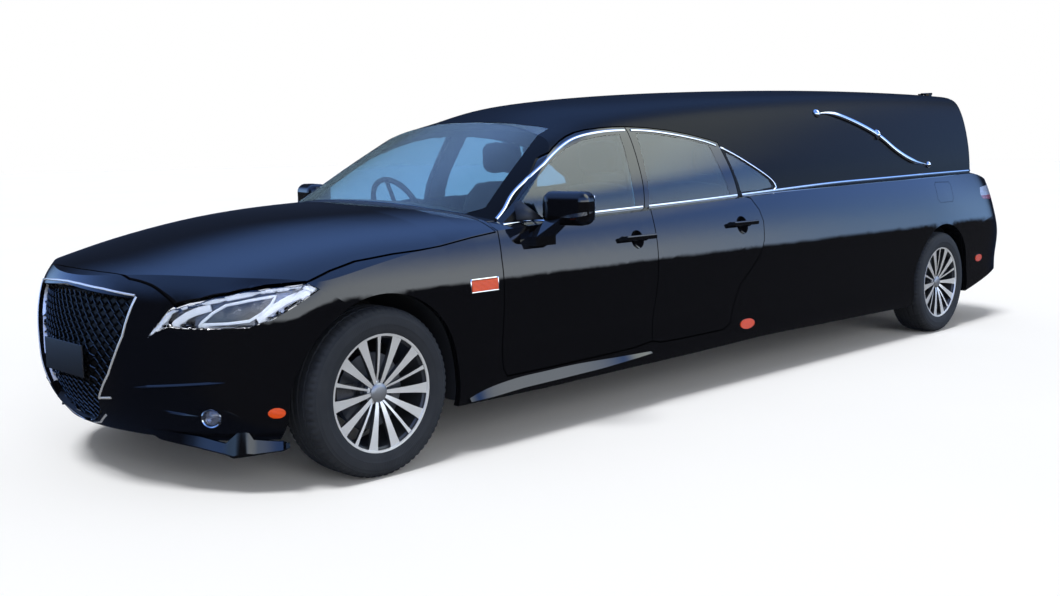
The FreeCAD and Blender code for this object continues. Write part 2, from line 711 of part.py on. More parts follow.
UPPER = upper(0)
UPPER_OUT = UPPER.translated(Vector(0, -size("bar_rise"), 0))
UPPER_BACK = UPPER.translated(Vector(0, size("bar_depth") - size("bar_rise"), 0))
BAR_LAYER = UPPER_OUT.cut(UPPER_BACK)


def ribbon(points, half_width):
    """Closed outline round a line of points, wider by the half width on both sides."""
    sides = ([], [])
    for i, (s, z) in enumerate(points):
        s0, z0 = points[max(i - 1, 0)]
        s1, z1 = points[min(i + 1, len(points) - 1)]
        length = math.hypot(s1 - s0, z1 - z0)
        nx, nz = -(z1 - z0) / length * half_width, (s1 - s0) / length * half_width
        sides[0].append((s + nx, z + nz))
        sides[1].append((s - nx, z - nz))
    return sides[0] + sides[1][::-1]


def landau():
    """S-shaped bar standing off the roof side on three bosses."""
    bar_solid = BAR_LAYER.common(side_prism(ribbon(LANDAU, 13), -1200, -400))
    shape = main_solid(bar_solid)
    for s, z in (LANDAU[0], LANDAU[3], LANDAU[-1]):
        post = Part.makeCylinder(17, 500, at(s, -1100, z), Vector(0, 1, 0))
        post = post.common(UPPER_OUT.cut(UPPER))
        shape = shape.fuse(max(post.Solids, key=lambda piece: -piece.BoundBox.YMin))
    return shape


feature("landau_bars", pair([main_solid(landau())]))

# Doors, bonnet and tailgate


def handle(s, z, skin_y):
    """Pull handle standing off the door on two feet."""
    grip = block(s - 110, s + 110, -skin_y - 38, -skin_y - 20, z - 12, z + 12)
    grip = grip.makeFillet(6, grip.Edges)
    feet = [block(a, a + 26, -skin_y - 32, -skin_y + 12, z - 9, z + 9) for a in (s - 104, s + 78)]
    return grip.fuse(feet)


def finger_cup(s, z, skin_y):
    return Part.makeSphere(70, at(s, -skin_y - 52, z))


def mirror():
    """Door mirror: rounded head on a stalk that rises from a foot on the door."""
    head = Part.makeBox(125, 225, 148, Vector(-62.5, -112.5, -74))
    head = head.makeFillet(44, head.Edges)
    head.Placement = Placement(at(965, -955, 1003), Rotation(Vector(0, 0, 1), 15))
    lower_end = [(812, -905), (935, -905), (935, -850), (812, -850)]
    upper_end = [(905, -965), (985, -965), (985, -885), (905, -885)]
    rings = []
    for corners, z in ((lower_end, 846), (lower_end, 885), (upper_end, 962)):
        points = [at(s, y, z) for s, y in corners]
        rings.append(Part.makePolygon(points + points[:1]))
    foot = Part.makeLoft(rings[:2], True, True)
    stalk = Part.makeLoft(rings[1:], True, True)
    return head.fuse([foot, stalk])


front_left = main_solid(front_left).cut(finger_cup(1530, 838, 868)).fuse([handle(1525, 838, 868), mirror()])
rear_left = main_solid(rear_left).cut(finger_cup(2390, 857, 860)).fuse(handle(2388, 857, 860))
for name, shape in (("door_front", front_left), ("door_rear", rear_left)):
    left = feature(name + "_left", main_solid(shape))
    twin(left, name + "_right")
for name, outline in (("glass_front", FRONT_GLASS), ("glass_rear", REAR_GLASS)):
    left = feature(name + "_left", pane(outline))
    twin(left, name + "_right")
bonnet = PANEL.common(plan_prism(BONNET, 650, 1100)).common(side_prism(SHOULDER, -1250, 1250))
LAMP_CLEAR = corner_prism(LAMP, grow=GAP)
bonnet = bonnet.cut(LAMP_CLEAR).cut(mirrored(LAMP_CLEAR))
feature("bonnet", main_solid(bonnet))
gate = main_solid(OUTER.cut(INNER).common(rear_prism(GATE, 5336, 6200)))
gate = gate.fuse([gate_boss(), mirrored(gate_boss())])
feature("tailgate", main_solid(gate))

# Underbody
PANEL_INNER = lower(size("panel_depth"))
FLOOR = size("floor_height")
FLOOR_TOP = FLOOR + size("floor_depth")
WELL = size("well_depth")
HUB = size("tyre_radius")
PARTITION = size("casket_bay_start")


def liner(axle, room):
    """Wheel housing: a half drum over the tyre and a wall on its inner side."""
    hub = Vector(along(axle), 0, HUB)
    radius = size("arch_radius")
    drum = Part.makeCylinder(radius + 12, 1000 - WELL, hub - Vector(0, 1000, 0), Vector(0, 1, 0))
    wall = Part.makeCylinder(radius + 12, 12, hub - Vector(0, WELL, 0), Vector(0, 1, 0))
    shape = drum.common(room).cut(ARCHES).fuse(wall)
    return shape.common(Part.makeBox(2000, 2000, 900, Vector(hub.x - 1000, -1000, FLOOR)))


plates = [
    block(600, PARTITION, -900, 900, FLOOR, FLOOR_TOP),
    block(600, 640, -900, 900, FLOOR, 900),
    block(PARTITION, PARTITION + 30, -900, 900, FLOOR, 430),
    block(PARTITION, 4240, -900, 900, 400, 430),
    block(4210, 4240, -900, 900, 400, 545),
    block(4210, 5140, -900, 900, 520, 545),
    block(5110, 5140, -900, 900, 400, 545),
    block(5110, 5640, -900, 900, 400, 430),
]
floor = plates[0].fuse(plates[1:]).common(INNER).cut(ARCHES).cut(mirrored(ARCHES))
bay = [block(-640, 604, -500, -435, 300, 380), block(-640, -600, -700, 0, 260, 740)]
bay.append(block(-640, -560, -620, -440, 300, 380))
front_end = bay[0].fuse(bay[1:]).common(PANEL_INNER).cut(ARCHES).cut(LAMP_SPACE).cut(FOG_SPACE)
buffer = Part.makeCylinder(12, 300, at(-620, -400, 700))
front_end = front_end.fuse(buffer.common(lower(size("panel_depth") + size("seat_gap"))))
housings = liner(0, PANEL_INNER).fuse(liner(4670, INNER)).fuse(front_end)
housings = housings.cut(block(-90, 90, -700, 0, 0, 300)).cut(block(4600, 4740, -700, 0, 0, 420))
floor = floor.fuse(housings).fuse(mirrored(housings))
feature("floor_platform", floor)


# Running gear: left-hand pieces, the hub axis at the tyre radius


# clock angle and height of the spokes in one fifth of a wheel: a wide pair and a thin one
SPOKES = [(21.0, 32), (49.0, 32), (71.0, 12)]


def axle_parts(axle, hub_x):
    """Rim with its hub and disc, and tyre, for the left wheel of one axle."""
    middle = "-[track] / 2"
    hub_z = "[tyre_radius]"

    def drum(radius, outer, length):
        return primitive("Cylinder", (hub_x, middle + " - " + outer, hub_z), ACROSS, Radius=radius, Height=length)

    barrel = less("Barrel", drum("[rim_radius] - 12", "[rim_width] / 2", "[rim_width]"),
                  drum("[rim_radius] - 21", "[rim_width] / 2 + 1", "[rim_width] + 2"))
    lips = []
    for outer in ("[rim_width] / 2", "8 - [rim_width] / 2"):
        ring = less("Lip", drum("[rim_radius]", outer, "8"), drum("[rim_radius] - 13", outer + " + 1", "10"))
        lips.append(ring)
    hub = drum("62", "86", "76")
    disc = drum("[disc_radius]", "17", "24")
    neck = drum("62", "30", "40")
    spokes = []
    for turn, (clock, height) in itertools.product(range(5), SPOKES):
        angle = Rotation(Vector(0, 1, 0), clock + 72.0 * turn - 90.0)
        spoke = doc.addObject("Part::Box", "Spoke")
        spoke.setExpression("Length", words("[rim_radius] - 66"))
        spoke.Width = 22
        spoke.Height = height
        half = height / 2.0
        lift = angle.multVec(Vector(50, 0, -half))
        spoke.Placement = Placement(Vector(0, 0, 0), angle)
        spoke.setExpression("Placement.Base.x", words(hub_x + " + %.4f" % lift.x))
        spoke.setExpression("Placement.Base.y", words(middle + " - 84"))
        spoke.setExpression("Placement.Base.z", words(hub_z + " + %.4f" % lift.z))
        spokes.append(spoke)
    solid = joined("Wheel", [barrel] + lips + [hub, disc, neck] + spokes)
    bore = drum("[spindle_radius] + [running_clearance]", "75", "100")
    wheel = less("wheel_" + axle + "_left", solid, bore)

    casing = drum("[tyre_radius]", "[tyre_width] / 2", "[tyre_width]")
    doc.recompute()
    rims = [n + 1 for n, e in enumerate(casing.Shape.Edges) if e.isClosed() and abs(e.Length - 2 * math.pi * HUB) < 1]
    rounded = doc.addObject("Part::Fillet", "Shoulder")
    rounded.Base = casing
    rounded.Edges = [(n, 36.0, 36.0) for n in rims]
    bead = drum("[rim_radius] - 12", "[tyre_width] / 2 + 1", "[tyre_width] + 2")
    seats = []
    for outer in ("[tyre_width] / 2 + 1", "0.1 - [rim_width] / 2 + 8"):
        seats.append(drum("[rim_radius] + 0.1", outer, "([tyre_width] - [rim_width]) / 2 + 9.1"))
    tyre = less("tyre_" + axle + "_left", rounded, joined("Seats", [bead] + seats))
    return wheel, tyre


def upright(hub_x, steered):
    """Knuckle or fixed hub carrier: post, spindle, caliper and pin lugs."""
    middle = "-[track] / 2"
    hub_z = "[tyre_radius]"

    def cube(x, y, z, length, width, height):
        place = (hub_x + " + " + x, middle + " + " + y, hub_z + " + " + z)
        return primitive("Box", place, Length=length, Width=width, Height=height)

    foot, head = ("-134", "260") if steered else ("-60", "120")
    post = cube("-30", "15", foot, "60", "50", head)
    spindle = primitive("Cylinder", (hub_x, middle + " - 70", hub_z), ACROSS, Radius="[spindle_radius]", Height="90")
    arm = cube("-[disc_radius] + 30", "15", "-24", "[disc_radius] - 30", "36", "48")
    caliper = cube("-[disc_radius] - 24", "-39", "-46", "76", "80", "92")
    slot = primitive("Cylinder", (hub_x, middle + " - 22", hub_z), ACROSS, Radius="[disc_radius] + 6", Height="34")
    solid = less("Upright", joined("UprightSolid", [post, arm, caliper]), slot)
    return joined("UprightSpindle", [solid, spindle])


FRONT_X = "[front_axle]"
REAR_X = "[front_axle] + [wheelbase]"

for axle, hub_x in (("front", FRONT_X), ("rear", REAR_X)):
    wheel, tyre = axle_parts(axle, hub_x)
    node(wheel, "wheel_%s_left" % axle)
    node(tyre, "tyre_%s_left" % axle)
    twin(wheel, "wheel_%s_right" % axle)
    twin(tyre, "tyre_%s_right" % axle)

pin_y = "-[track] / 2 + [kingpin_offset]"
steer_bore = primitive("Cylinder", (FRONT_X, pin_y, "[tyre_radius] - 140"),
                       Radius="[pin_radius] + [running_clearance]", Height="36")
steer_bore_top = primitive("Cylinder", (FRONT_X, pin_y, "[tyre_radius] + 96"),
                           Radius="[pin_radius] + [running_clearance]", Height="36")
knuckle = less("knuckle_left", upright(FRONT_X, True), joined("SteeringBores", [steer_bore, steer_bore_top]))
node(knuckle, "knuckle_left")
twin(knuckle, "knuckle_right")

hub_left = upright(REAR_X, False)
beam = primitive("Cylinder", (REAR_X, "-[track] / 2 + 64", "[tyre_radius]"), ACROSS, Radius="32", Height="[track] / 2 - 64")
casing = primitive("Box", (REAR_X + " - 130", "-110", "[tyre_radius] - 90"), Length="260", Width="110", Height="170")
spring = primitive("Cylinder", (REAR_X, "-300", "[tyre_radius] + 20"), Radius="45", Height="520 - [tyre_radius] - 20")
link = primitive("Cylinder", (REAR_X + " - 430", "-370", "[tyre_radius] - 20"), REARWARD, Radius="16", Height="430")
half_axle = joined("HalfAxle", [hub_left, beam, casing, spring, link])
mirror_axle = doc.addObject("Part::Mirroring", "HalfAxleRight")
mirror_axle.Source = half_axle
mirror_axle.Normal = Vector(0, 1, 0)
node(joined("rear_axle", [half_axle, mirror_axle]), "rear_axle")


def front_side():
    """Left lower and upper arms with the steering pins, strut and cross member half."""
    x = along(0)
    pin = size("track") / 2 - size("kingpin_offset")
    low = HUB - 160
    high = HUB + 150
    shape = Part.makeBox(130, WELL, 85, Vector(x - 65, -WELL, 215))
    shape = shape.fuse(bar(Vector(x, -420, 258), Vector(x, -pin, low), 15))
    shape = shape.fuse(Part.makeSphere(17, Vector(x, -pin, low)))
    shape = shape.fuse(Part.makeCylinder(size("pin_radius"), 50, Vector(x, -pin, low)))
    shape = shape.fuse(bar(Vector(x, -WELL - 1.3, high + 20), Vector(x, -pin, high), 14))
    shape = shape.fuse(Part.makeSphere(16, Vector(x, -pin, high)))
    shape = shape.fuse(Part.makeCylinder(size("pin_radius"), 45, Vector(x, -pin, high - 45)))
    strut = bar(Vector(x, -575, low + 32), Vector(x, -560, HUB + size("arch_radius") - 2), 14)
    coil = bar(Vector(x, -568, 380), Vector(x, -562, 660), 34)
    return shape.fuse([strut, coil])


suspension = front_side()
feature("front_suspension", suspension.fuse(mirrored(suspension)))

# Engine, tank and exhaust
engine = primitive("Box", ("[front_axle] - [engine_length] + 100", "-[engine_width] / 2", "300"),
                   Length="[engine_length]", Width="[engine_width]", Height="[engine_height] - 30")
node(engine, "engine_block")
tank = primitive("Box", ("[front_axle] + [casket_bay_start] + 130", "-[tank_width] / 2", "400 - [tank_height]"),
                 Length="[tank_length]", Width="[tank_width]", Height="[tank_height]")
node(tank, "fuel_tank")


def exhaust():
    radius = size("pipe_radius")
    stations = [(60, 330, 345), (330, 398, 183), (2950, 398, 183), (3080, 398, 235), (5180, 398, 235), (5250, 398, 312)]
    points = [at(*p) for p in stations]
    manifold = Vector(points[0].x, size("engine_width") / 2, points[0].z)
    shape = Part.makeSphere(radius, points[0]).fuse(bar(manifold, points[0], radius - 4))
    for a, b in zip(points, points[1:]):
        shape = shape.fuse(bar(a, b, radius)).fuse(Part.makeSphere(radius, b))
    start = at(5200, 398, 316)
    shape = shape.fuse(Part.makeCylinder(80, size("silencer_length") * 0.75, start, Vector(1, 0, 0)))
    shape = shape.fuse(bar(at(5560, 398, 300), at(5735, 398, 296), 26))
    for s, z in ((1500, FLOOR), (3600, 400), (5400, 400)):
        shape = shape.fuse(block(s, s + 20, 388, 408, 235 if z > 300 else 183, z))
    return shape


feature("exhaust", exhaust())

# Interior


def seat(s, y, width, back_top):
    """Cushion on its base, leaning back and headrest."""
    cushion = block(s, s + 520, y - width / 2, y + width / 2, 330, 480)
    cushion = cushion.makeFillet(45, [e for e in cushion.Edges if e.BoundBox.ZMax > up(470) - 1])
    base = block(s + 60, s + 460, y - width / 2 + 40, y + width / 2 - 40, 255, 340)
    profile = [(s + 440, 440), (s + 560, 420), (s + 700, back_top), (s + 600, back_top + 15)]
    back = side_prism(profile, y - width / 2 + 8, y + width / 2 - 8)
    back = back.makeFillet(30, back.Edges)
    return cushion.fuse([base, back])


def headrest(s, y, z):
    rest = block(s - 45, s + 45, y - 130, y + 130, z, z + 170)
    rest = rest.makeFillet(34, rest.Edges)
    posts = [Part.makeCylinder(7, 90, at(s, y + d, z - 70)) for d in (-60, 60)]
    return rest.fuse(posts)


def front_seat(y):
    return seat(1180, y, 520, 1080).fuse(headrest(1830, y, 1120))


feature("front_seats", Part.makeCompound([front_seat(-370), front_seat(370)]))
bench = seat(2120, 0, 1300, 1060)
feature("rear_seat", bench.fuse([headrest(2770, y, 1090) for y in (-400, 400)]))

dash = side_prism([(640, 640), (760, 600), (860, 700), (960, 780), (975, 880), (900, 945), (780, 960), (640, 930)], -900, 900)
dash = dash.common(INNER)
console = block(800, 1700, -110, 110, FLOOR_TOP, 520).fuse(block(700, 860, -110, 110, FLOOR_TOP, 760))
column = bar(at(860, 370, 840), at(1085, 370, 935), 34)
rake = at(1085, 370, 935) - at(860, 370, 840)
rim = Part.makeTorus(183, 14, at(1085, 370, 935), rake)
hub = Part.makeCylinder(60, 30, at(1072, 370, 929), rake)
tilt = Rotation(Vector(0, 0, 1), rake)
spokes = [bar(at(1085, 370, 935), at(1085, 370, 935) + tilt.multVec(Vector(183 * math.cos(a), 183 * math.sin(a), 0)), 11)
          for a in (0.0, math.pi, math.pi / 2)]
feature("dashboard", dash.fuse([console, column, rim, hub] + spokes))

deck = block(PARTITION + 30, 5390, -600, 600, 545, size("deck_height"))
well = liner(4670, INNER).fuse(ARCHES)
deck = deck.cut(well).cut(mirrored(well))
supports = [block(s, s + 40, -420, 420, 430, 545) for s in (3000, 3500, 4000)]
supports += [block(5300, 5340, -420, 420, 430, 545)]
wall = block(PARTITION + 5, PARTITION + 30, -900, 900, 430, 1500).common(INNER)
feature("casket_deck", deck.fuse(supports).fuse(wall))

doc.recompute()
os.makedirs("parts", exist_ok=True)
for obj in NODES:
    shape = obj.Shape
    if shape.isNull() or not shape.isValid() or "Invalid" in obj.State or "Error" in obj.State:
        raise RuntimeError("%s has no valid shape" % obj.Label)
    shape.exportStep("parts/%s.step" % obj.Label)
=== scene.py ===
"""Looks of the stretched hearse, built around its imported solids.

Tables are in millimetres: s behind the front axle, y toward the right side, z above the ground.
"""
import math

import bmesh
import bpy
from mathutils import Matrix, Vector
from mathutils.bvhtree import BVHTree


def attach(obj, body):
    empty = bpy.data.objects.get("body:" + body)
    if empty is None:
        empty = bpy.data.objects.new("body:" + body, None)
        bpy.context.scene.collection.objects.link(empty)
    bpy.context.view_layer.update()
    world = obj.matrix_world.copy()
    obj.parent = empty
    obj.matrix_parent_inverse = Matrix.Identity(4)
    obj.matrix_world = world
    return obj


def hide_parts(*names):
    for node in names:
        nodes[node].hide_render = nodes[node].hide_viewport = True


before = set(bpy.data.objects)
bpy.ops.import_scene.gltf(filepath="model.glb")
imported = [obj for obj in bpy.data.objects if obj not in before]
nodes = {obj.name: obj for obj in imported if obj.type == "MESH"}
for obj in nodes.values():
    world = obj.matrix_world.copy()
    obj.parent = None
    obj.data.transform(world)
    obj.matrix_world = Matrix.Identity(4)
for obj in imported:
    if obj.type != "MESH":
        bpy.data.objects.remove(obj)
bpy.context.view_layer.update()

SLANT = math.sqrt(0.5)  # share of a 45 degree heading along each axis
MIDDLE = 2452.5  # station of the frame's origin


def at(s, y, z):
    """Place in the frame, in metres, of a table's millimetres."""
    return Vector(((s - MIDDLE) / 1000, y / 1000, z / 1000))


# Shader work

def linear(code):
    """sRGB hex as the linear colour that shaders take."""
    parts = [int(code[i:i + 2], 16) / 255 for i in (0, 2, 4)]
    return tuple(c / 12.92 if c <= 0.04045 else ((c + 0.055) / 1.055) ** 2.4 for c in parts) + (1.0,)


def wire(tree, node, inputs):
    """Sets or links a node's inputs."""
    for key, value in inputs.items():
        if isinstance(value, bpy.types.NodeSocket):
            tree.links.new(value, node.inputs[key])
        else:
            node.inputs[key].default_value = value


def add(tree, kind, settings=None, inputs=None):
    """Adds a node with its settings and links, and returns it."""
    node = tree.nodes.new("ShaderNode" + kind)
    for key, value in (settings or {}).items():
        setattr(node, key, value)
    wire(tree, node, inputs or {})
    return node


def mixed(tree, factor, low, high):
    """Colour between two ends, each an sRGB code, linear values or a socket."""
    low, high = (linear(end) if isinstance(end, str) else end for end in (low, high))
    return add(tree, "Mix", {"data_type": "RGBA"}, {0: factor, 6: low, 7: high}).outputs[2]


def ramp(tree, value, low, high, to_low=0.0, to_high=1.0, smooth=False):
    """Value mapped from one range to another and clamped there."""
    kind = "SMOOTHSTEP" if smooth else "LINEAR"
    return add(tree, "MapRange", {"interpolation_type": kind}, {
        "Value": value, "From Min": low, "From Max": high, "To Min": to_low, "To Max": to_high}).outputs[0]


def calc(tree, operation, first, second):
    """Result of a calculation on two values."""
    return add(tree, "Math", {"operation": operation}, {0: first, 1: second}).outputs[0]


def relief(tree, height, depth, strength=1.0, **below):
    """Normal of a surface raised by a height, which is worth a depth in metres."""
    return add(tree, "Bump", {}, {
        "Height": height, "Strength": strength, "Distance": depth, **below}).outputs[0]


def noise(tree, where, scale, **more):
    """Noise with so many grains to a metre."""
    return add(tree, "TexNoise", {}, {"Vector": where, "Scale": scale, **more}).outputs[0]


def bands(tree, where, direction, scale, **settings):
    """Wave of bands across a direction."""
    settings["bands_direction"] = direction
    return add(tree, "TexWave", settings, {"Vector": where, "Scale": scale}).outputs["Fac"]


def per_band(pitch):
    """Scale of a wave whose bands repeat at a pitch in metres."""
    return math.pi / 10 / pitch


def finish(name, **sockets):
    """New material with constants on its shader: tree, shader, object coordinates."""
    material = bpy.data.materials.new(name)
    material.use_nodes = True
    tree = material.node_tree
    shader = tree.nodes["Principled BSDF"]
    wire(tree, shader, {key.replace("_", " "): value for key, value in sockets.items()})
    return material, tree, shader, add(tree, "TexCoord").outputs["Object"]


def mottled(name, low, high, size, depth, stretch=(1, 1, 1), **sockets):
    """Finish whose colour drifts between two shades and whose surface is uneven by a depth.

    Both follow one grain, whose size is in metres like the depth.
    """
    material, tree, shader, where = finish(name, **sockets)
    spot = add(tree, "Mapping", {}, {"Vector": where, "Scale": stretch}).outputs[0]
    grain = noise(tree, spot, 1 / size, Detail=3.0)
    wire(tree, shader, {"Base Color": mixed(tree, grain, low, high), "Normal": relief(tree, grain, depth)})
    return material


def coach_enamel():
    """Black coach enamel under clear lacquer: navy cast, mirror-smooth, a pressed crease low on the doors."""
    material, tree, shader, where = finish(
        "coach_enamel", Metallic=0.0, Roughness=0.4, IOR=1.5, Specular_IOR_Level=0.0,
        Coat_Weight=1.0, Coat_Roughness=0.01, Coat_IOR=1.5)
    # mica flakes of 0.05 mm are drawn 1 mm wide, so that they show at all
    flakes = add(tree, "TexVoronoi", {}, {"Vector": where, "Scale": 1000.0}).outputs["Distance"]
    # orange peel of sprayed lacquer, 4 mm from ripple to ripple
    peel = noise(tree, where, 250.0, Detail=1.0)
    place = add(tree, "SeparateXYZ", {}, {"Vector": where}).outputs
    # the crease climbs behind the front wheel and falls along the rear door
    rise = ramp(tree, place["X"], -2.02, -1.7, 0.412, 0.448, smooth=True)
    fall = ramp(tree, place["X"], -0.42, -0.22, 0.0, 0.065, smooth=True)
    above = calc(tree, "SUBTRACT", place["Z"], calc(tree, "SUBTRACT", rise, fall))
    step = ramp(tree, above, -0.016, 0.016, 0.0, 0.0045, smooth=True)
    height = calc(tree, "MULTIPLY", step, ramp(tree, place["X"], -2.12, -1.95))
    fold = relief(tree, height, 1.0, Normal=relief(tree, peel, 0.000006))
    shade = mixed(tree, flakes, "040405", "0A0B10")
    wire(tree, shader, {"Base Color": shade, "Normal": fold, "Coat Normal": fold})
    return material


def roof_enamel():
    """Satin black enamel on the coach roof outside, woven headlining on its inner side."""
    material, tree, shader, where = finish(
        "roof_enamel", IOR=1.5, Specular_IOR_Level=0.04, Coat_Roughness=0.12)
    place = add(tree, "SeparateXYZ", {}, {"Vector": where}).outputs
    across = add(tree, "CombineXYZ", {}, {"Y": place["Y"], "Z": 0.35}).outputs[0]
    normal = add(tree, "NewGeometry").outputs["Normal"]
    facing = add(tree, "VectorMath", {"operation": "DOT_PRODUCT"}, {0: normal, 1: across}).outputs["Value"]
    outside = calc(tree, "GREATER_THAN", facing, 0.0)
    peel = noise(tree, where, 180.0, Detail=2.0)
    weave = add(tree, "TexVoronoi", {}, {"Vector": where, "Scale": 420.0}).outputs[0]
    cloth = mixed(tree, weave, "45423D", "4E4B45")
    wire(tree, shader, {
        "Base Color": mixed(tree, outside, cloth, mixed(tree, peel, "050608", "0C0E13")),
        "Roughness": ramp(tree, outside, 0.0, 1.0, 0.9, 0.35),
        "Coat Weight": calc(tree, "MULTIPLY", outside, 0.06),
        "Normal": relief(tree, peel, 0.000006)})
    return material


def ribbed_plastic(name, low, high, pitch, axis, **sockets):
    """Moulded lens plastic with prisms at a pitch, which break its reflections into bars."""
    material, tree, shader, where = finish(
        name, IOR=1.49, Roughness=0.08, Coat_Weight=0.6, Coat_Roughness=0.03, **sockets)
    ribs = bands(tree, where, axis, per_band(pitch))
    wire(tree, shader, {"Base Color": mixed(tree, ribs, low, high), "Normal": relief(tree, ribs, 0.0006)})
    return material


def tail_lens():
    """Acrylic tail lamp: red prisms below, smoked clear above."""
    material, tree, shader, where = finish(
        "tail_lens", IOR=1.49, Roughness=0.06, Coat_Weight=0.8, Coat_Roughness=0.02)
    height = add(tree, "SeparateXYZ", {}, {"Vector": where}).outputs["Z"]
    ribs = bands(tree, where, "X", per_band(0.012))
    red = mixed(tree, ribs, "3A0508", "9E1014")
    clear = mixed(tree, ribs, "5F6C8C", "A9B6D6")
    shade = mixed(tree, ramp(tree, height, 0.882, 0.886), red, clear)
    wire(tree, shader, {"Base Color": shade, "Normal": relief(tree, ribs, 0.0008)})
    return material


def lacquered_boards():
    """Deck of 90 mm mahogany boards under satin lacquer, grain running along the load space."""
    material, tree, shader, where = finish(
        "lacquered_boards", IOR=1.5, Roughness=0.32, Coat_Weight=0.4, Coat_Roughness=0.12)
    drawn = add(tree, "Mapping", {}, {"Vector": where, "Scale": (1.5, 22.0, 22.0)}).outputs[0]
    grain = noise(tree, drawn, 4.0, Detail=6.0, Distortion=0.6)
    joints = bands(tree, where, "Y", per_band(0.09) / 2, wave_profile="SAW")
    seam = calc(tree, "LESS_THAN", joints, 0.03)
    shade = mixed(tree, seam, mixed(tree, grain, "3B1A0E", "7A4426"), "120806")
    wire(tree, shader, {"Base Color": shade, "Normal": relief(tree, grain, 0.0002)})
    return material


def woven_cloth(name, low, high, thread):
    """Flat-woven seat cloth: over-and-under threads, matt with a soft sheen at grazing angles."""
    material, tree, shader, where = finish(
        name, Roughness=0.92, Sheen_Weight=0.35, Sheen_Roughness=0.4, Specular_IOR_Level=0.25)
    warp, weft = (add(tree, "TexWave", {"bands_direction": direction}, {
        "Vector": where, "Scale": per_band(thread), "Distortion": 0.6}).outputs["Fac"] for direction in "YZ")
    weave = calc(tree, "MULTIPLY", warp, weft)
    wire(tree, shader, {"Base Color": mixed(tree, weave, low, high), "Normal": relief(tree, weave, 0.0004)})
    return material


def tempered_glass(name, tint):
    """Float glass with a blue body tint, flat to within a faint roller wave."""
    material, tree, shader, where = finish(
        name, Base_Color=linear(tint), Transmission_Weight=1.0, IOR=1.5, Roughness=0.0)
    waves = noise(tree, where, 6.0, Detail=0.0)
    wire(tree, shader, {"Normal": relief(tree, waves, 0.00008)})
    return material


def tyre_rubber():
    """Carbon-black rubber, vulcanised in a mould: matt, greyer where dusty, fine ribs round the wall."""
    material, tree, shader, where = finish("tyre_rubber", Roughness=0.78, IOR=1.52, Specular_IOR_Level=0.4)
    dust = noise(tree, where, 14.0, Detail=5.0)
    round_wall = add(tree, "UVMap", {"uv_map": "round"}).outputs[0]
    ribs = bands(tree, round_wall, "X", per_band(0.008))
    shade = mixed(tree, dust, "141517", "26282B")
    wire(tree, shader, {"Base Color": shade, "Normal": relief(tree, ribs, 0.0004, strength=0.5)})
    return material


ENAMEL = coach_enamel()
ROOF = roof_enamel()
# bright nickel-chrome plate, polished: nearly a mirror, with the faint haze of buffing
CHROME = mottled("chrome_plate", "B9BCC0", "D6D8DB", 0.004, 0.000004, Metallic=1.0, Roughness=0.07)
# satin-plated frame of the grille: paler and duller than polished plate
SATIN = mottled("satin_plate", "C4C7CB", "DDDFE2", 0.004, 0.000004, Metallic=0.6, Roughness=0.25)
# acrylonitrile trim moulded with a fine leather-like grain, dull black
TRIM = mottled("grained_black_trim", "0B0B0C", "161617", 0.0016, 0.00012, Roughness=0.55, IOR=1.52)
# piano-black lacquered plastic for pillars and the grille: wet-looking with faint moulding flow
PIANO = mottled("gloss_black_plastic", "030303", "08090A", 0.02, 0.00001,
                Roughness=0.1, IOR=1.5, Coat_Weight=0.5)
# stone-chip coating sprayed under the floor: rough, matt, soft black
UNDERSEAL = mottled("stone_chip_coating", "0E0E0F", "1C1C1D", 0.006, 0.0006, Roughness=0.85, IOR=1.5)
# dashboard skin, slush-moulded vinyl: soft sheen over a pebble grain
VINYL = mottled("pebbled_vinyl", "0F1012", "1C1D20", 0.002, 0.0002, Roughness=0.6, IOR=1.5)
# as-cast aluminium of the engine cases: pale grey with a sandy skin
CASTING = mottled("sand_cast_aluminium", "7E8083", "A6A8AA", 0.0025, 0.0003, Metallic=1.0, Roughness=0.55)
# stamped steel tank under black dip coat
DIPPED = mottled("dip_coated_steel", "101112", "202123", 0.03, 0.0003, Roughness=0.5, IOR=1.5)
# heat-browned stainless tube, drawn along its length
PIPE = mottled("heat_browned_steel", "6B625A", "9A928A", 0.01, 0.00005, stretch=(0.1, 1, 1),
               Metallic=1.0, Roughness=0.38)
# cast-iron knuckles and calipers, grey-brown with a rough cast skin
IRON = mottled("cast_iron", "4A4846", "6B6764", 0.003, 0.0004, Metallic=1.0, Roughness=0.6)
# faces of the wheel spokes, diamond-turned and lacquered: bright with fine turning rings
TURNED = mottled("diamond_turned_alloy", "C6C9CC", "E2E4E6", 0.002, 0.00001,
                 Metallic=0.45, Roughness=0.3, Coat_Weight=0.3)
# pockets and barrel of the wheel, powder-coated dark grey
POCKET = mottled("grey_powder_coat", "2A2C30", "3C3F44", 0.002, 0.00005, Metallic=0.4, Roughness=0.45)
# brake disc, ground iron: dull silver with turning marks
DISC = mottled("ground_iron", "5C5D5F", "8A8B8D", 0.0015, 0.00003, Metallic=1.0, Roughness=0.35)
# wheel centre cap, silver-grey paint
CAP = mottled("silver_grey_paint", "7C7F84", "8F9297", 0.001, 0.00001, Metallic=0.6, Roughness=0.35)
# lamp bowls, vacuum-metallised under smoked lacquer: a dark, slightly soft mirror
SMOKED = mottled("smoked_bowl", "2B3140", "465069", 0.02, 0.00001, Metallic=1.0, Roughness=0.22)
# bright reflector bands between the lamp's cells, metallised
MIRRORED = mottled("metallised_bowl", "C6CAD2", "E6E9EE", 0.01, 0.00005, Metallic=1.0, Roughness=0.12)
# light guides, opal acrylic that looks white unlit
OPAL = mottled("opal_light_guide", "DDE6F4", "F6F9FF", 0.006, 0.00005,
               Roughness=0.22, IOR=1.49, Coat_Weight=0.5)
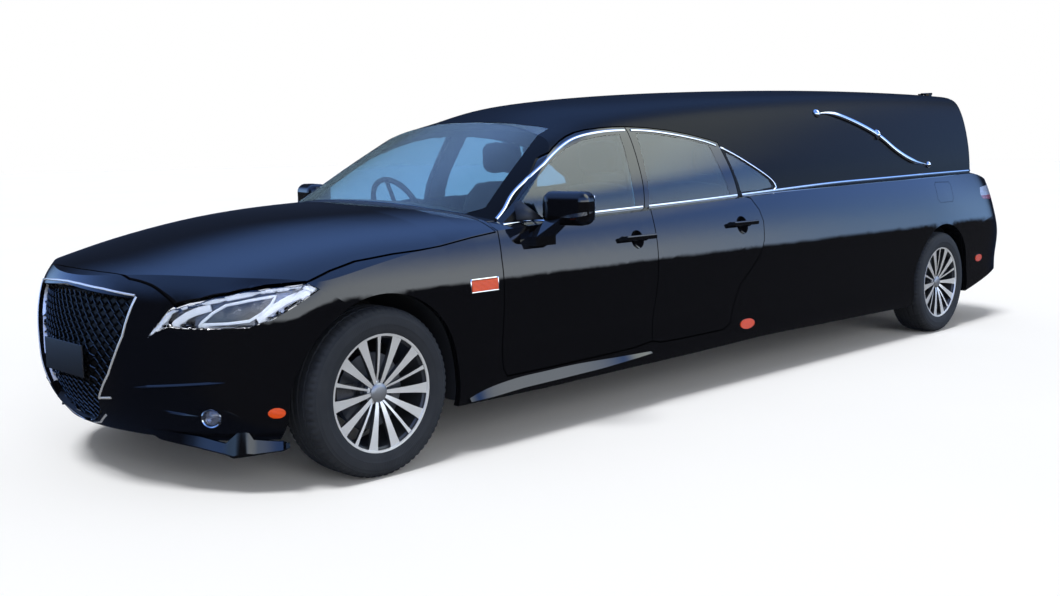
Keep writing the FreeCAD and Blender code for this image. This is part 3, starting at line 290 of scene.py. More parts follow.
# dark bezel inside the front lamps, polycarbonate moulded satin
BEZEL = mottled("lamp_bezel", "080A10", "151A26", 0.01, 0.0002, Roughness=0.25, IOR=1.58)
AMBER = ribbed_plastic("amber_lens", "A02C06", "E8581A", 0.005, "Z")
TAIL = tail_lens()
BOARDS = lacquered_boards()
CLOTH = woven_cloth("seat_cloth", "101114", "2A2C31", 0.003)
WINDOW = tempered_glass("tinted_side_glass", "8FB6CE")
SCREEN = tempered_glass("laminated_screen", "A9CCE0")
COVER = tempered_glass("polycarbonate_cover", "F4F8FF")
RUBBER = tyre_rubber()


# Mesh work

def piece(name, bm, body, *finishes, angle=35, slot=None):
    """A finished mesh, facing outward, that rides on a body."""
    bmesh.ops.remove_doubles(bm, verts=bm.verts, dist=0.00002)
    bmesh.ops.recalc_face_normals(bm, faces=bm.faces)
    mesh = bpy.data.meshes.new(name)
    bm.to_mesh(mesh)
    bm.free()
    for material in finishes:
        mesh.materials.append(material)
    mesh.shade_smooth()
    mesh.set_sharp_from_angle(angle=math.radians(angle))
    obj = bpy.data.objects.new(name, mesh)
    bpy.context.collection.objects.link(obj)
    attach(obj, body)
    return obj


def both_sides(name, build, body, *finishes, **more):
    """A left piece and its mirror image on the right; returns both."""
    made = []
    for side in ("left", "right"):
        bm = bm_of(build)
        if side == "right":
            bmesh.ops.scale(bm, vec=(1, -1, 1), verts=bm.verts)
            # the bodies of one side end in l, those of the other in r
            body = body[:-1] + "r" if body.endswith("l") else body
        made.append(piece(name + "_" + side, bm, body, *finishes, **more))
    return made


def skin(*names):
    """Search tree of the surfaces of these solids."""
    bm = bmesh.new()
    for name in names:
        bm.from_mesh(nodes[name].data)
    tree = BVHTree.FromBMesh(bm)
    bm.free()
    return tree


# Ways of looking at the body: start of the ray for a pair of numbers in a table, and its heading
FROM_LEFT = (lambda a, b: at(a, -1200, b), Vector((0, 1, 0)))
BESIDE = (lambda a, b: at(a, -870, b), Vector((0, 1, 0)))
FROM_CORNER = (lambda a, b: at((a - 1100) * SLANT, (-1100 - a) * SLANT, b), Vector((SLANT, SLANT, 0)))
FROM_FRONT = (lambda a, b: at(-1000, a, b), Vector((1, 0, 0)))
FROM_BEHIND = (lambda a, b: at(5900, a, b), Vector((-1, 0, 0)))


def curved(line, step):
    """Points along a smooth curve through the line's points, about a step apart."""
    line = [Vector(p) for p in line]
    ends = [line[0] * 2 - line[1]] + line + [line[-1] * 2 - line[-2]]
    out = []
    for a, b, c, d in zip(ends, ends[1:], ends[2:], ends[3:]):
        count = max(1, round((c - b).length / step))
        for i in range(count):
            t = i / count
            out.append(0.5 * (2 * b + (c - a) * t + (2 * a - 5 * b + 4 * c - d) * t * t
                              + (3 * b - a - 3 * c + d) * t ** 3))
    return out + [line[-1]]


def straight(line, step):
    """Points along straight runs, about a step apart, with the corners kept."""
    line = [Vector(p) for p in line]
    out = []
    for a, b in zip(line, line[1:]):
        count = max(1, round((b - a).length / step))
        out += [a.lerp(b, i / count) for i in range(count)]
    return out + [line[-1]]


def value_on(line, t):
    """Second number of a broken line at a place along its first."""
    for (a, low), (b, high) in zip(line, line[1:]):
        if a <= t <= b:
            return low + (high - low) * (t - a) / (b - a)


def traced(tree, view, points):
    """Where the pairs of a table lie on the surface, each with its outward normal, as far as they meet it."""
    start, heading = view
    track = []
    for a, b in map(Vector, points):
        hit, normal, _, _ = tree.ray_cast(start(a, b), heading)
        if hit is not None:
            track.append((hit, -normal if normal.dot(heading) > 0 else normal))
    smooth = []
    for i, (hit, normal) in enumerate(track):
        near = track[max(i - 2, 0):i + 3]
        smooth.append((hit, sum((n for _, n in near), Vector()).normalized()))
    return smooth


def ring(bm, points):
    """Vertices and edges of a new closed ring."""
    verts = [bm.verts.new(p) for p in points]
    return verts, [bm.edges.new(pair) for pair in zip(verts, verts[1:] + verts[:1])]


def spun(bm, points, centre, axis, steps):
    """Turns a closed ring of points all the way round an axis."""
    verts, edges = ring(bm, points)
    bmesh.ops.spin(bm, geom=verts + edges, cent=centre, axis=axis, angle=math.tau, steps=steps,
                   use_merge=True)


def sweep(bm, track, section, closed=False, taper=0):
    """Pushes a section of (side, out) millimetres along points with normals, and closes its ends.

    With a taper the section grows from nothing over that many points at each end.
    """
    rings = []
    count = len(track)
    for i, (point, out) in enumerate(track):
        before = track[(i - 1) % count if closed else max(i - 1, 0)][0]
        after = track[(i + 1) % count if closed else min(i + 1, count - 1)][0]
        along = (after - before).normalized()
        side = out.cross(along).normalized()
        thin = min(1.0, (min(i, count - 1 - i) + 0.3) / taper) if taper else 1.0
        rings.append(ring(bm, [
            point + (side * a * thin + out * (b if b < 0 else b * thin)) / 1000 for a, b in section])[1])
    for a, b in zip(rings, rings[1:] + (rings[:1] if closed else [])):
        bmesh.ops.bridge_loops(bm, edges=a + b)
    if not closed:
        bmesh.ops.holes_fill(bm, edges=rings[0] + rings[-1], sides=0)


def loft(bm, rings):
    """Skins a row of rings of points, and closes its ends."""
    loops = [ring(bm, points)[1] for points in rings]
    for a, b in zip(loops, loops[1:]):
        bmesh.ops.bridge_loops(bm, edges=a + b)
    bmesh.ops.holes_fill(bm, edges=loops[0] + loops[-1], sides=0)


def rounded_block(bm, low, high, radius, turn=None):
    """Block between two corners with rounded edges, lengths in metres."""
    made = bmesh.ops.create_cube(bm, size=1.0)["verts"]
    bmesh.ops.scale(bm, vec=high - low, verts=made)
    bmesh.ops.bevel(bm, geom=list(bm.edges), offset=radius, segments=3, profile=0.5, affect="EDGES",
                    material=-1, clamp_overlap=True)
    if turn:
        bmesh.ops.transform(bm, matrix=turn, verts=bm.verts)
    bmesh.ops.translate(bm, vec=(low + high) / 2, verts=bm.verts)


def lathe(bm, centre, profile, steps=96):
    """Turns a closed profile of (radius, outward) millimetres round a left-hand wheel's axis."""
    spun(bm, [centre + Vector((0, -v, r)) / 1000 for r, v in profile], centre, (0, 1, 0), steps)


def bm_of(build):
    """A new mesh, filled by a build function."""
    bm = bmesh.new()
    build(bm)
    return bm


def thickened(objects, thickness):
    """Gives sheets a thickness in millimetres, half to each side."""
    for obj in objects:
        wall = obj.modifiers.new("Wall", "SOLIDIFY")
        wall.thickness = thickness / 1000
        wall.offset = 0
    return objects


MOULDING = [(-7, -3), (-7, 1.5), (-4.5, 4), (0, 4.8), (4.5, 4), (7, 1.5), (7, -3)]
BEAD = [(-4, -2), (-3.4, 2), (0, 3.4), (3.4, 2), (4, -2)]

# Finishes of the solids that stay as they are
DRESS = {
    ENAMEL: ["quarter_left", "quarter_right", "fender_left", "fender_right", "front_bumper", "rear_bumper",
             "bonnet", "tailgate", "door_front_left", "door_front_right", "door_rear_left",
             "door_rear_right"],
    ROOF: ["coach_roof"],
    TRIM: ["cowl"],
    SCREEN: ["windscreen"],
    WINDOW: ["quarter_glass", "glass_front_left", "glass_front_right", "glass_rear_left", "glass_rear_right"],
    UNDERSEAL: ["floor_platform"],
    BOARDS: ["casket_deck"],
    VINYL: ["dashboard"],
    CASTING: ["engine_block"],
    DIPPED: ["fuel_tank", "front_suspension", "rear_axle"],
    PIPE: ["exhaust"],
    IRON: ["knuckle_left", "knuckle_right"],
    TAIL: ["tail_lamps"],
    AMBER: ["side_markers"],
    PIANO: ["grille"],
    CHROME: ["landau_bars"],
}
for material, names in DRESS.items():
    for name in names:
        mesh = nodes[name].data
        mesh.materials.clear()
        mesh.materials.append(material)

LEFT_SKIN = skin("door_front_left", "door_rear_left", "quarter_left", "fender_left", "coach_roof",
                 "front_bumper", "rear_bumper")
FRONT_SKIN = skin("front_bumper", "front_lamps", "fender_left", "bonnet")

# Chrome along the belt and round the side windows: station, height
BELT = [(691, 940), (1009, 952), (1327, 962), (2052, 982), (2708, 1005), (3392, 1029), (3990, 1040),
        (4667, 1051), (5330, 1059)]
# over the windows; it turns back under the tip of the quarter glass
WINDOW_ARCH = [(700, 950), (768, 998), (850, 1062), (942, 1118), (1106, 1208), (1264, 1276), (1396, 1313),
               (1554, 1334), (1709, 1340), (1864, 1337), (2018, 1323), (2173, 1302), (2330, 1272),
               (2479, 1222), (2622, 1157), (2765, 1084)]
ARCH_TIP = [(2815, 1046), (2824, 1026), (2800, 1008)]


def part_of(line, start, stop, step=22):
    """The stretch of a curved line between two stations."""
    return [p for p in curved(line, step) if start <= p.x <= stop]


def moulding(view, *stretch):
    """Bright moulding along the stretch of a line."""
    return lambda bm: sweep(bm, traced(LEFT_SKIN, view, part_of(*stretch)), MOULDING)


for place, body, start, stop in (
        ("front", "door_fl", 712, 1664), ("rear", "door_rl", 1690, 2448), ("quarter", "body", 2478, 5325)):
    both_sides("belt_moulding_" + place, moulding(BESIDE, BELT, start, stop), body, CHROME)
for place, body, *stretch in (
        ("front", "door_fl", WINDOW_ARCH + ARCH_TIP[:1], 705, 1712),
        ("rear", "door_rl", WINDOW_ARCH + ARCH_TIP[:1], 1738, 2380),
        ("quarter", "body", WINDOW_ARCH + ARCH_TIP, 2394, 2900, 16)):
    both_sides("window_arch_" + place, moulding(FROM_LEFT, *stretch), body, CHROME)


def sill_blade(bm):
    """Blade that catches the light along the lower edge of the doors."""
    upper = [(405, 228), (534, 266), (709, 286), (894, 290), (1102, 292), (1390, 284), (1663, 278)]
    lower = [(405, 220), (571, 224), (745, 234), (990, 238), (1266, 244), (1527, 258), (1664, 268)]
    rings = []
    for point, _ in traced(LEFT_SKIN, FROM_LEFT, part_of(upper, 410, 1660, 40)):
        foot = value_on(lower, point.x * 1000 + MIDDLE) / 1000
        corners = ((-4, point.z), (0.5, point.z), (11, foot + 0.006), (9, foot), (-4, foot))
        rings.append([Vector((point.x, point.y - out / 1000, z)) for out, z in corners])
    loft(bm, rings)


both_sides("sill_blade", sill_blade, "body", ENAMEL, angle=10)


# Carriage bars on the load space: station, height
CARRIAGE_BAR = [(3459, 1438), (3580, 1440), (3702, 1422), (3899, 1368), (4083, 1299), (4248, 1209),
                (4435, 1142), (4652, 1112)]


def facing(point, normal):
    """Matrix that moves the origin to a point and turns Z along a normal."""
    return Matrix.Translation(point) @ normal.to_track_quat("Z", "Y").to_matrix().to_4x4()


def knob(bm, point, normal, along, across, high):
    """Rounded knob on a surface, from its half lengths in millimetres."""
    made = bmesh.ops.create_uvsphere(bm, u_segments=20, v_segments=10, radius=0.001)["verts"]
    bmesh.ops.scale(bm, vec=(across, along, high), verts=made)
    bmesh.ops.transform(bm, matrix=facing(point, normal), verts=made)


def carriage_bar(bm):
    """Bowed bar with a knob at each end and a leaf in the middle."""
    track = traced(LEFT_SKIN, FROM_LEFT, curved(CARRIAGE_BAR, 30))
    sweep(bm, track, [(-16, -3), (-16, 8), (-10, 16), (0, 19), (10, 16), (16, 8), (16, -3)], taper=7)
    for i, size in ((0, (27, 27, 22)), (len(track) // 2, (34, 19, 30)), (-1, (22, 22, 21))):
        knob(bm, *track[i], *size)


bars = both_sides("carriage_bar", carriage_bar, "body", CHROME)
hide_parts("landau_bars")


# Mirrors: the heads are packed with the doors; strip, glass and sail are added
def mirror_strip(bm):
    """Repeater strip round the head, on its front face."""
    line = [(1318, 967), (1375, 975), (1430, 984), (1480, 991)]
    sweep(bm, traced(skin("door_front_left"), FROM_CORNER, curved(line, 12)),
          [(-8, -3), (-8, 0.8), (8, 0.8), (8, -3)], taper=4)


both_sides("mirror_strip", mirror_strip, "door_fl", MIRRORED)
HEAD_TURN = Matrix.Rotation(math.radians(15), 4, "Z")
both_sides("mirror_glass", lambda bm: rounded_block(
    bm, at(1024, -1032, 950), at(1029, -848, 1056), 0.0015, turn=HEAD_TURN), "door_fl", MIRRORED)


def sail(bm):
    """Black sheet in the lower front corner of the side window."""
    outline = [(806, 952), (806, 1000), (826, 1026), (852, 1034), (884, 1006), (903, 956)]
    tree = skin("door_front_left", "glass_front_left")
    bm.faces.new([bm.verts.new(p) for p, _ in traced(tree, BESIDE, outline)])


thickened(both_sides("mirror_sail", sail, "door_fl", TRIM), 8.0)


# Front lamps: clear cover, metallised bowl, opal guides and dark projectors behind it
LAMP_SKIN = skin("front_lamps")


def sunk(track, depth):
    """The track moved inward by millimetres."""
    return [(point - normal * depth / 1000, normal) for point, normal in track]


def lamp_track(line, depth, bend=False, closed=False):
    """Track at a depth below the lamp's outer face."""
    points = (curved if bend else straight)(line + line[:1] if closed else line, 14)
    return sunk(traced(LAMP_SKIN, FROM_CORNER, points[:-1] if closed else points), depth)


def lamp_sheet(depth, wall=0.0):
    """The lamp's outer face, moved inward by a depth; a wall makes it a tub open toward the front."""
    def build(bm):
        _, heading = FROM_CORNER
        bm.from_mesh(nodes["front_lamps"].data)
        bmesh.ops.remove_doubles(bm, verts=bm.verts, dist=0.00005)
        bmesh.ops.dissolve_degenerate(bm, edges=bm.edges, dist=0.0001)
        # only the left lamp's face toward the corner stays
        other = [f for f in bm.faces if f.normal.dot(heading) > -0.3 or f.calc_center_median().z < 0.5
                 or f.calc_center_median().y > 0]
        bmesh.ops.delete(bm, geom=other, context="FACES")
        for v in bm.verts:
            v.co += heading * depth / 1000
        if wall:
            rim = [e for e in bm.edges if e.is_boundary]
            grown = bmesh.ops.extrude_edge_only(bm, edges=rim)["geom"]
            bmesh.ops.translate(bm, vec=-heading * wall / 1000,
                                verts=[v for v in grown if isinstance(v, bmesh.types.BMVert)])
    return build


covers = thickened(both_sides("lamp_cover", lamp_sheet(1.2), "body", COVER, slot="lamp_clear"), 2.0)
thickened(both_sides("lamp_bowl", lamp_sheet(36, 33), "body", SMOKED), 1.2)


def lens_panel(bm):
    """Dark sheet behind the projectors, inside the inner guide."""
    loop = [(10, 656), (54, 692), (102, 717), (180, 732), (264, 744), (250, 720), (222, 694), (182, 668),
            (109, 660)]
    track = lamp_track(loop, 30, closed=True)
    bm.faces.new([bm.verts.new(point) for point, _ in track])


thickened(both_sides("lamp_lens_panel", lens_panel, "body", BEZEL), 1.0)


def guide(half, top):
    """Section of a light guide from its half widths at the foot and the top."""
    return [(-half, -4), (-half, 3), (-top, 5), (top, 5), (half, 3), (half, -4)]


GUIDE, WIDE_GUIDE, BROAD_BAND = guide(5, 2), guide(8, 6), guide(13, 10)


def bright_frame(bm):
    """Bright lines along the lamp's upper edge and up from its inner corner."""
    top = [(-184, 610), (-104, 694), (-64, 715), (110, 746), (240, 770), (366, 780), (408, 764)]
    sweep(bm, lamp_track(top, 12), WIDE_GUIDE)
    sweep(bm, lamp_track([(-176, 612), (-112, 648)], 12), GUIDE)


def guides(bm):
    """Guides at the inner end, round the projectors and toward the wing."""
    sweep(bm, lamp_track([(-98, 648), (-58, 676), (-22, 694), (44, 714)], 14, bend=True), BROAD_BAND)
    loop = [(0, 652), (50, 694), (99, 722), (180, 738), (276, 752), (262, 722), (231, 692), (184, 664),
            (109, 656)]
    sweep(bm, lamp_track(loop, 16, closed=True), GUIDE, closed=True)
    sweep(bm, lamp_track([(212, 668), (268, 706), (330, 740), (394, 762)], 18, bend=True), BROAD_BAND)


def projectors(bm):
    """Three round lenses in front of the dark panel."""
    for t, z in ((70, 690), (138, 704), (206, 712)):
        (point, normal), = lamp_track([(t, z), (t, z)], 26)[:1]
        made = bmesh.ops.create_uvsphere(bm, u_segments=24, v_segments=12, radius=0.021)["verts"]
        bmesh.ops.scale(bm, vec=(1, 1, 0.6), verts=made)
        bmesh.ops.transform(bm, matrix=facing(point, normal), verts=made)


both_sides("lamp_bright_frame", bright_frame, "body", OPAL)
both_sides("lamp_guides", guides, "body", OPAL)
both_sides("lamp_projectors", projectors, "body", COVER)


def fog_part(profile):
    """Ring of (radius, outward) about the fog lamp's axis, which is the diagonal of the corner."""
    def build(bm):
        (point, _), = traced(FRONT_SKIN, FROM_CORNER, [(25, 304)])
        spun(bm, [Vector((r, 0, h)) / 1000 for r, h in profile], (0, 0, 0), (0, 0, 1), 48)
        bmesh.ops.transform(bm, matrix=facing(point, Vector((-SLANT, -SLANT, 0))), verts=bm.verts)
    return build


for name, finishing, profile in (
        ("fog_rim", CHROME, [(37, -20), (37, 4), (34, 6), (31, 3), (29, -16)]),
        ("fog_lens", COVER, [(0.2, -3), (12, -4), (24, -8), (30, -12), (30, -15), (0.2, -15)]),
        ("fog_bowl", SMOKED, [(0.2, -24), (10, -23), (28, -16.5), (29, -18), (12, -27), (0.2, -28)])):
    both_sides(name, fog_part(profile), "body", finishing)
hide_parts("front_lamps")


# Bright rims of the side repeaters
REPEATER = [(449, 680), (603, 680), (603, 732), (449, 732), (449, 680)]
both_sides("repeater_rim", lambda bm: sweep(
    bm, traced(LEFT_SKIN, FROM_LEFT, straight(REPEATER, 12)[:-1]), BEAD, closed=True), "body", CHROME)


# Bumper details: place along the corner's diagonal, height
def corner_strip(line, section):
    """Build function of a strip on the bumper's corner."""
    return lambda bm: sweep(bm, traced(FRONT_SKIN, FROM_CORNER, curved(line, 14)), section, taper=4)


CREASE = [(-8, -3), (-6, 2), (0, 6), (6, 2), (8, -3)]
BLADE = [(-5, -3), (-4, 3), (4, 5), (5, -3)]
for name, finishing, section, line in (
        ("fog_blade", PIANO, BLADE, [(66, 338), (100, 322), (134, 306)]),
        ("bumper_crease_upper", ENAMEL, CREASE, [(-262, 415), (-102, 427), (88, 441)]),
        ("bumper_crease_lower", ENAMEL, CREASE, [(-188, 330), (-96, 318), (-24, 311)])):
    both_sides(name, corner_strip(line, section), "body", finishing)
LIP_TOP = [(-331, 239), (-189, 244), (-33, 225), (63, 201), (119, 250), (141, 261), (166, 215), (260, 205),
           (325, 205)]
LIP_FOOT = [(-340, 218), (-200, 211), (-43, 185), (64, 161), (91, 147), (203, 162), (330, 177)]


def front_lip(bm):
    """Blade that hangs under the bumper's corner and rises to a peak below the fog lamp."""
    rings = []
    last = 38
    for i in range(last + 1):
        t = -252 + 15 * i
        # thin at both ends
        grown = min(1.0, 0.15 + i / 5, 0.25 + (last - i) / 4)
        # three heights, so that the normal is their average
        found = traced(FRONT_SKIN, FROM_CORNER, [(t, z) for z in (236, 280, 330)])
        if not found:
            continue
        point, out = found[0]
        out = Vector((out.x, out.y, 0)).normalized()
        top = value_on(LIP_TOP, t)
        foot = top + (value_on(LIP_FOOT, t) - top) * grown
        corners = ((top, -8), (top, 3), (top * 0.12 + foot * 0.88, 3 + 11 * grown), (foot, 3 + 9 * grown),
                   (foot, -8))
        rings.append([Vector((point.x, point.y, z / 1000)) + out * b / 1000 for z, b in corners])
    loft(bm, rings)


both_sides("front_lip", front_lip, "body", ENAMEL, angle=12)

# Grille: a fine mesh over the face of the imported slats, in a bright frame
SLATS = [243.5 + 37 * i for i in range(14)]
MESH_FOOT, MESH_ROWS = 232, 22
MESH_ROW, MESH_PITCH, MESH_WAVE = 24.0, 10.5, 9.0
GRILLE_SKIN = skin("grille")
# half width of the opening at its heights
OPENING = [(226, 0), (248, 110), (292, 190), (362, 213), (464, 295), (608, 365), (740, 398)]


def nose_face(y, z):
    """Point on the nose inside the grille opening, taken between the two nearest slats."""
    start, heading = FROM_FRONT
    found = []
    for slat in sorted(SLATS, key=lambda level: abs(level - z))[:2]:
        hit, _, _, _ = GRILLE_SKIN.ray_cast(start(y, slat), heading)
        if hit is not None:
            found.append((hit.x, slat))
    if not found:
        return None
    # one of the rays went past the end of its slat
    if len(found) == 1 or abs(found[0][0] - found[1][0]) > 0.05:
        return Vector((found[0][0], y / 1000, z / 1000))
    (x0, z0), (x1, z1) = found
    return Vector((x0 + (x1 - x0) * (z - z0) / (z1 - z0), y / 1000, z / 1000))


def grille_mesh(bm):
    """Bars waved in turn: each crest meets the trough above and scale-shaped cells stay open between them."""
    set_back = Vector((0.022, 0, 0))
    outward = Vector((-1, 0, 0.2)).normalized()
    for row in range(MESH_ROWS):
        level = MESH_FOOT + row * MESH_ROW
        count = int((value_on(OPENING, level) - 8) / MESH_PITCH)
        track = []
        for i in range(-count, count + 1):
            point = nose_face(i * MESH_PITCH, level + MESH_WAVE * math.cos(math.pi * (i / 2 + row)))
            if point is not None:
                track.append((point + set_back, outward))
        if len(track) > 4:
            sweep(bm, track, [(-2.4, -9), (-2.4, 1), (0, 2.6), (2.4, 1), (2.4, -9)])


def grille_back(bm):
    """Dark panel behind the mesh, brought forward at its foot to close the opening."""
    foot, last = 224, 16
    rows = []
    for z in [foot] + [240 + 30 * i for i in range(18)]:
        wide = value_on(OPENING, min(max(z, 227), 720)) - 3
        row = []
        for i in range(last + 1):
            point = nose_face((2 * i / last - 1) * wide, max(z, 232))
            closing = z == foot or z < 330 and i in (0, last)
            row.append(bm.verts.new(Vector((point.x + (0.004 if closing else 0.046), point.y, z / 1000))))
        rows.append(row)
    for low, high in zip(rows, rows[1:]):
        for a, b, c, d in zip(low, low[1:], high[1:], high):
            bm.faces.new((a, b, c, d))


def nose_strip(bm, line, section):
    """Strip along a line of (y, z) on the nose."""
    sweep(bm, traced(FRONT_SKIN, FROM_FRONT, straight(line, 14)), section)


def grille_frame(bm):
    """Slanted sides, short returns at their feet, and the upper edge."""
    bar = [(-4, -36), (-4, 2), (-1.5, 3.5), (1.5, 3.5), (4, 2), (4, -36)]
    for side in (-1, 1):
        nose_strip(bm, [(side * y, z) for y, z in ((218, 354), (300, 456), (374, 604), (409, 746))], bar)
        nose_strip(bm, [(side * y, z) for y, z in ((218, 356), (252, 360), (287, 364))], bar)
    top = [(-402, 750), (-250, 767), (-100, 777), (0, 780), (100, 777), (250, 767), (402, 750)]
    nose_strip(bm, top, bar)


def chin_blades(bm):
    """Thin bright V along the foot of the opening."""
    line = [(-206, 284), (-116, 238), (0, 214), (116, 238), (206, 284)]
    nose_strip(bm, line, [(-4, -6), (-4, 1), (0, 2), (4, 1), (4, -6)])


def front_plate(bm):
    """Blank plate across the grille."""
    rounded_block(bm, at(-867.8, -185, 432), at(-862.3, 145, 556), 0.0022)


mesh_piece = piece("grille_mesh", bm_of(grille_mesh), "body", PIANO)
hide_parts("grille")
thickened([piece("grille_back", bm_of(grille_back), "body", TRIM)], 2.0)
piece("grille_frame", bm_of(grille_frame), "body", SATIN)
piece("chin_blades", bm_of(chin_blades), "body", SATIN)
piece("front_plate_blank", bm_of(front_plate), "body", TRIM)


# Wheels and tyres, turned about the left wheel centres: profiles of (radius, outward)
TREAD = [(333.9, -12), (333.9, 12)]
WALL = [(328, 14), (328, 21), (333.9, 23), (333.6, 48), (327.6, 50), (327.6, 57), (333, 59), (331.5, 76),
        (328, 87), (321, 95), (312, 99.5), (310, 102), (300, 104), (298, 105.5), (282, 107.2), (268, 107.5),
        (266, 106.4), (256, 105.6), (246, 103.4), (239, 100.8), (233.6, 98.4), (233.4, 90), (223, 89)]
TYRE = TREAD + WALL + [(r, -v) for r, v in reversed(WALL)]
TYRE_STEPS = 216
WRAP_RADIUS = 0.3  # at which the tyre's UV map is true to size
# grooves across the tread: outward from and to, least radius, every so many steps, depth
GROOVES = [(60, 98, 320, 3, 5), (24, 60, 330, 4, 4)]
RIM = [(233, 97.5), (231.5, 98), (225, 97), (222.5, 92), (221, 84), (214, 78), (211, 40), (208, -60),
       (213, -90), (226, -97.5), (233, -97.5), (233, -90), (221, -86), (217, -60), (219, 40), (221, 70),
       (222, 84), (233, 91)]
RIM_LIP = [(233.2, 96), (232, 98.4), (224, 97.4), (222, 93), (224, 91)]
WHEEL_CAP = [(0.2, 81), (22, 80.5), (32, 78), (38, 73), (38, 60), (0.2, 60)]
BRAKE_DISC = [(62, 17), (150, 17), (152, 15), (152, -5), (150, -7), (62, -7)]
BRAKE_HAT = [(30, 44), (58, 44), (66, 40), (68, 17), (68, 5), (30, 5)]
# (radius, half width, face, depth) from hub to rim, and the clock angles within each fifth of the wheel
BROAD_SPOKE = [(36, 6, 70, 22), (60, 8.5, 76, 24), (110, 11.5, 83, 24), (160, 15, 88, 22), (200, 19, 91, 18),
               (224, 23, 93, 12)]
SLIM_SPOKE = [(44, 4, 62, 16), (90, 4.5, 74, 16), (150, 5.5, 83, 16), (200, 6.5, 88, 14), (224, 9, 91, 10)]
SPOKE_TURNS = ((21, BROAD_SPOKE), (49, BROAD_SPOKE), (71, SLIM_SPOKE))


def hub(s):
    """Centre of the left wheel at a station."""
    return at(s, -775, 334)


def tyre_build(s):
    """Tyre with its tread blocks cut, and a UV map that runs round it in metres."""
    def build(bm):
        centre = hub(s)
        lathe(bm, centre, TYRE, steps=TYRE_STEPS)
        axle = Vector((centre.x, 0, centre.z))
        for v in bm.verts:
            flat = Vector((v.co.x, 0, v.co.z)) - axle
            outward = abs(v.co.y - centre.y) * 1000
            turn = round(math.degrees(math.atan2(flat.x, flat.z)) / 360 * TYRE_STEPS)
            for start, stop, least, every, depth in GROOVES:
                if start < outward <= stop and flat.length > least / 1000 and turn % every == 0:
                    v.co -= flat.normalized() * (depth / 1000)
        around = bm.loops.layers.uv.new("round")
        for face in bm.faces:
            turns = []
            for loop in face.loops:
                flat = loop.vert.co - axle
                turns.append(math.atan2(flat.x, flat.z) * WRAP_RADIUS)
            low = min(turns)
            for loop, turn in zip(face.loops, turns):
                if turn - low > 0.5:
                    turn -= WRAP_RADIUS * math.tau
                loop[around].uv = (turn, loop.vert.co.y)
    return build


def rotated(bm, verts, centre, clock):
    """Turns verts to a clock angle about the axle."""
    bmesh.ops.rotate(bm, verts=verts, cent=centre, matrix=Matrix.Rotation(math.radians(clock), 3, "Y"))


def spoke(bm, centre, clock, sections):
    """One spoke, built pointing up and turned to its clock angle."""
    rings = []
    for r, half, face, depth in sections:
        corners = [(-half, face), (half, face), (half * 0.78, face - depth), (-half * 0.78, face - depth)]
        rings.append([centre + Vector((x, -v, r)) / 1000 for x, v in corners])
    before = set(bm.verts)
    loft(bm, rings)
    rotated(bm, [v for v in bm.verts if v not in before], centre, clock)


def wheel_face(s):
    """Spokes and hub ring; only the faces that look outward are machined."""
    def build(bm):
        centre = hub(s)
        for fifth in range(5):
            for clock, sections in SPOKE_TURNS:
                spoke(bm, centre, clock + 72 * fifth, sections)
        lathe(bm, centre, [(58, 40), (56, 52), (48, 60), (33, 64), (33, 44)], steps=60)
        bmesh.ops.recalc_face_normals(bm, faces=bm.faces)
        for face in bm.faces:
            face.material_index = 0 if face.normal.y < -0.86 else 1
    return build


def wheel_bolts(s):
    """Five six-sided bolts round the hub."""
    def build(bm):
        centre = hub(s)
        lying = Matrix.Rotation(math.radians(90), 3, "X")
        for fifth in range(5):
            made = bmesh.ops.create_cone(bm, cap_ends=True, segments=6, radius1=0.0105, radius2=0.0095,
                                         depth=0.02)["verts"]
            bmesh.ops.rotate(bm, verts=made, cent=(0, 0, 0), matrix=lying)
            bmesh.ops.translate(bm, verts=made, vec=centre + Vector((0, -0.062, 0.052)))
            rotated(bm, made, centre, 35 + 72 * fifth)
    return build


def turned(s, profile, steps=72):
    """Build function of a profile turned about a wheel's axis."""
    return lambda bm: lathe(bm, hub(s), profile, steps)


for place, s, body in (("front", 0, "wheel_fl"), ("rear", 4670, "wheel_rl")):
    tyres = both_sides("tyre_detail_" + place, tyre_build(s), body, RUBBER, angle=28)
    rims = both_sides("rim_barrel_" + place, turned(s, RIM, 96), body, POCKET)
    both_sides("rim_lip_" + place, turned(s, RIM_LIP, 96), body, TURNED)
    both_sides("wheel_spokes_" + place, wheel_face(s), body, TURNED, POCKET, angle=20)
    both_sides("wheel_bolts_" + place, wheel_bolts(s), body, POCKET)
    both_sides("wheel_cap_" + place, turned(s, WHEEL_CAP, 48), body, CAP)
    both_sides("brake_disc_" + place, turned(s, BRAKE_DISC), body, DISC)
    both_sides("brake_hat_" + place, turned(s, BRAKE_HAT), body, POCKET)
    for side, tyre, rim in zip(("left", "right"), tyres, rims):
        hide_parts("tyre_%s_%s" % (place, side))
        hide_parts("wheel_%s_%s" % (place, side))


# Seats: padded cushions, backs and rests in place of the imported seats, which are hidden
# shares of a side by which faces swell and edges draw in; place, width and depth of the sewn channels
CROWN, DRAWN_IN = 0.04, 0.07
CHANNEL_AT, CHANNEL_WIDTH, CHANNEL_DEPTH = 0.52, 0.06, 0.05


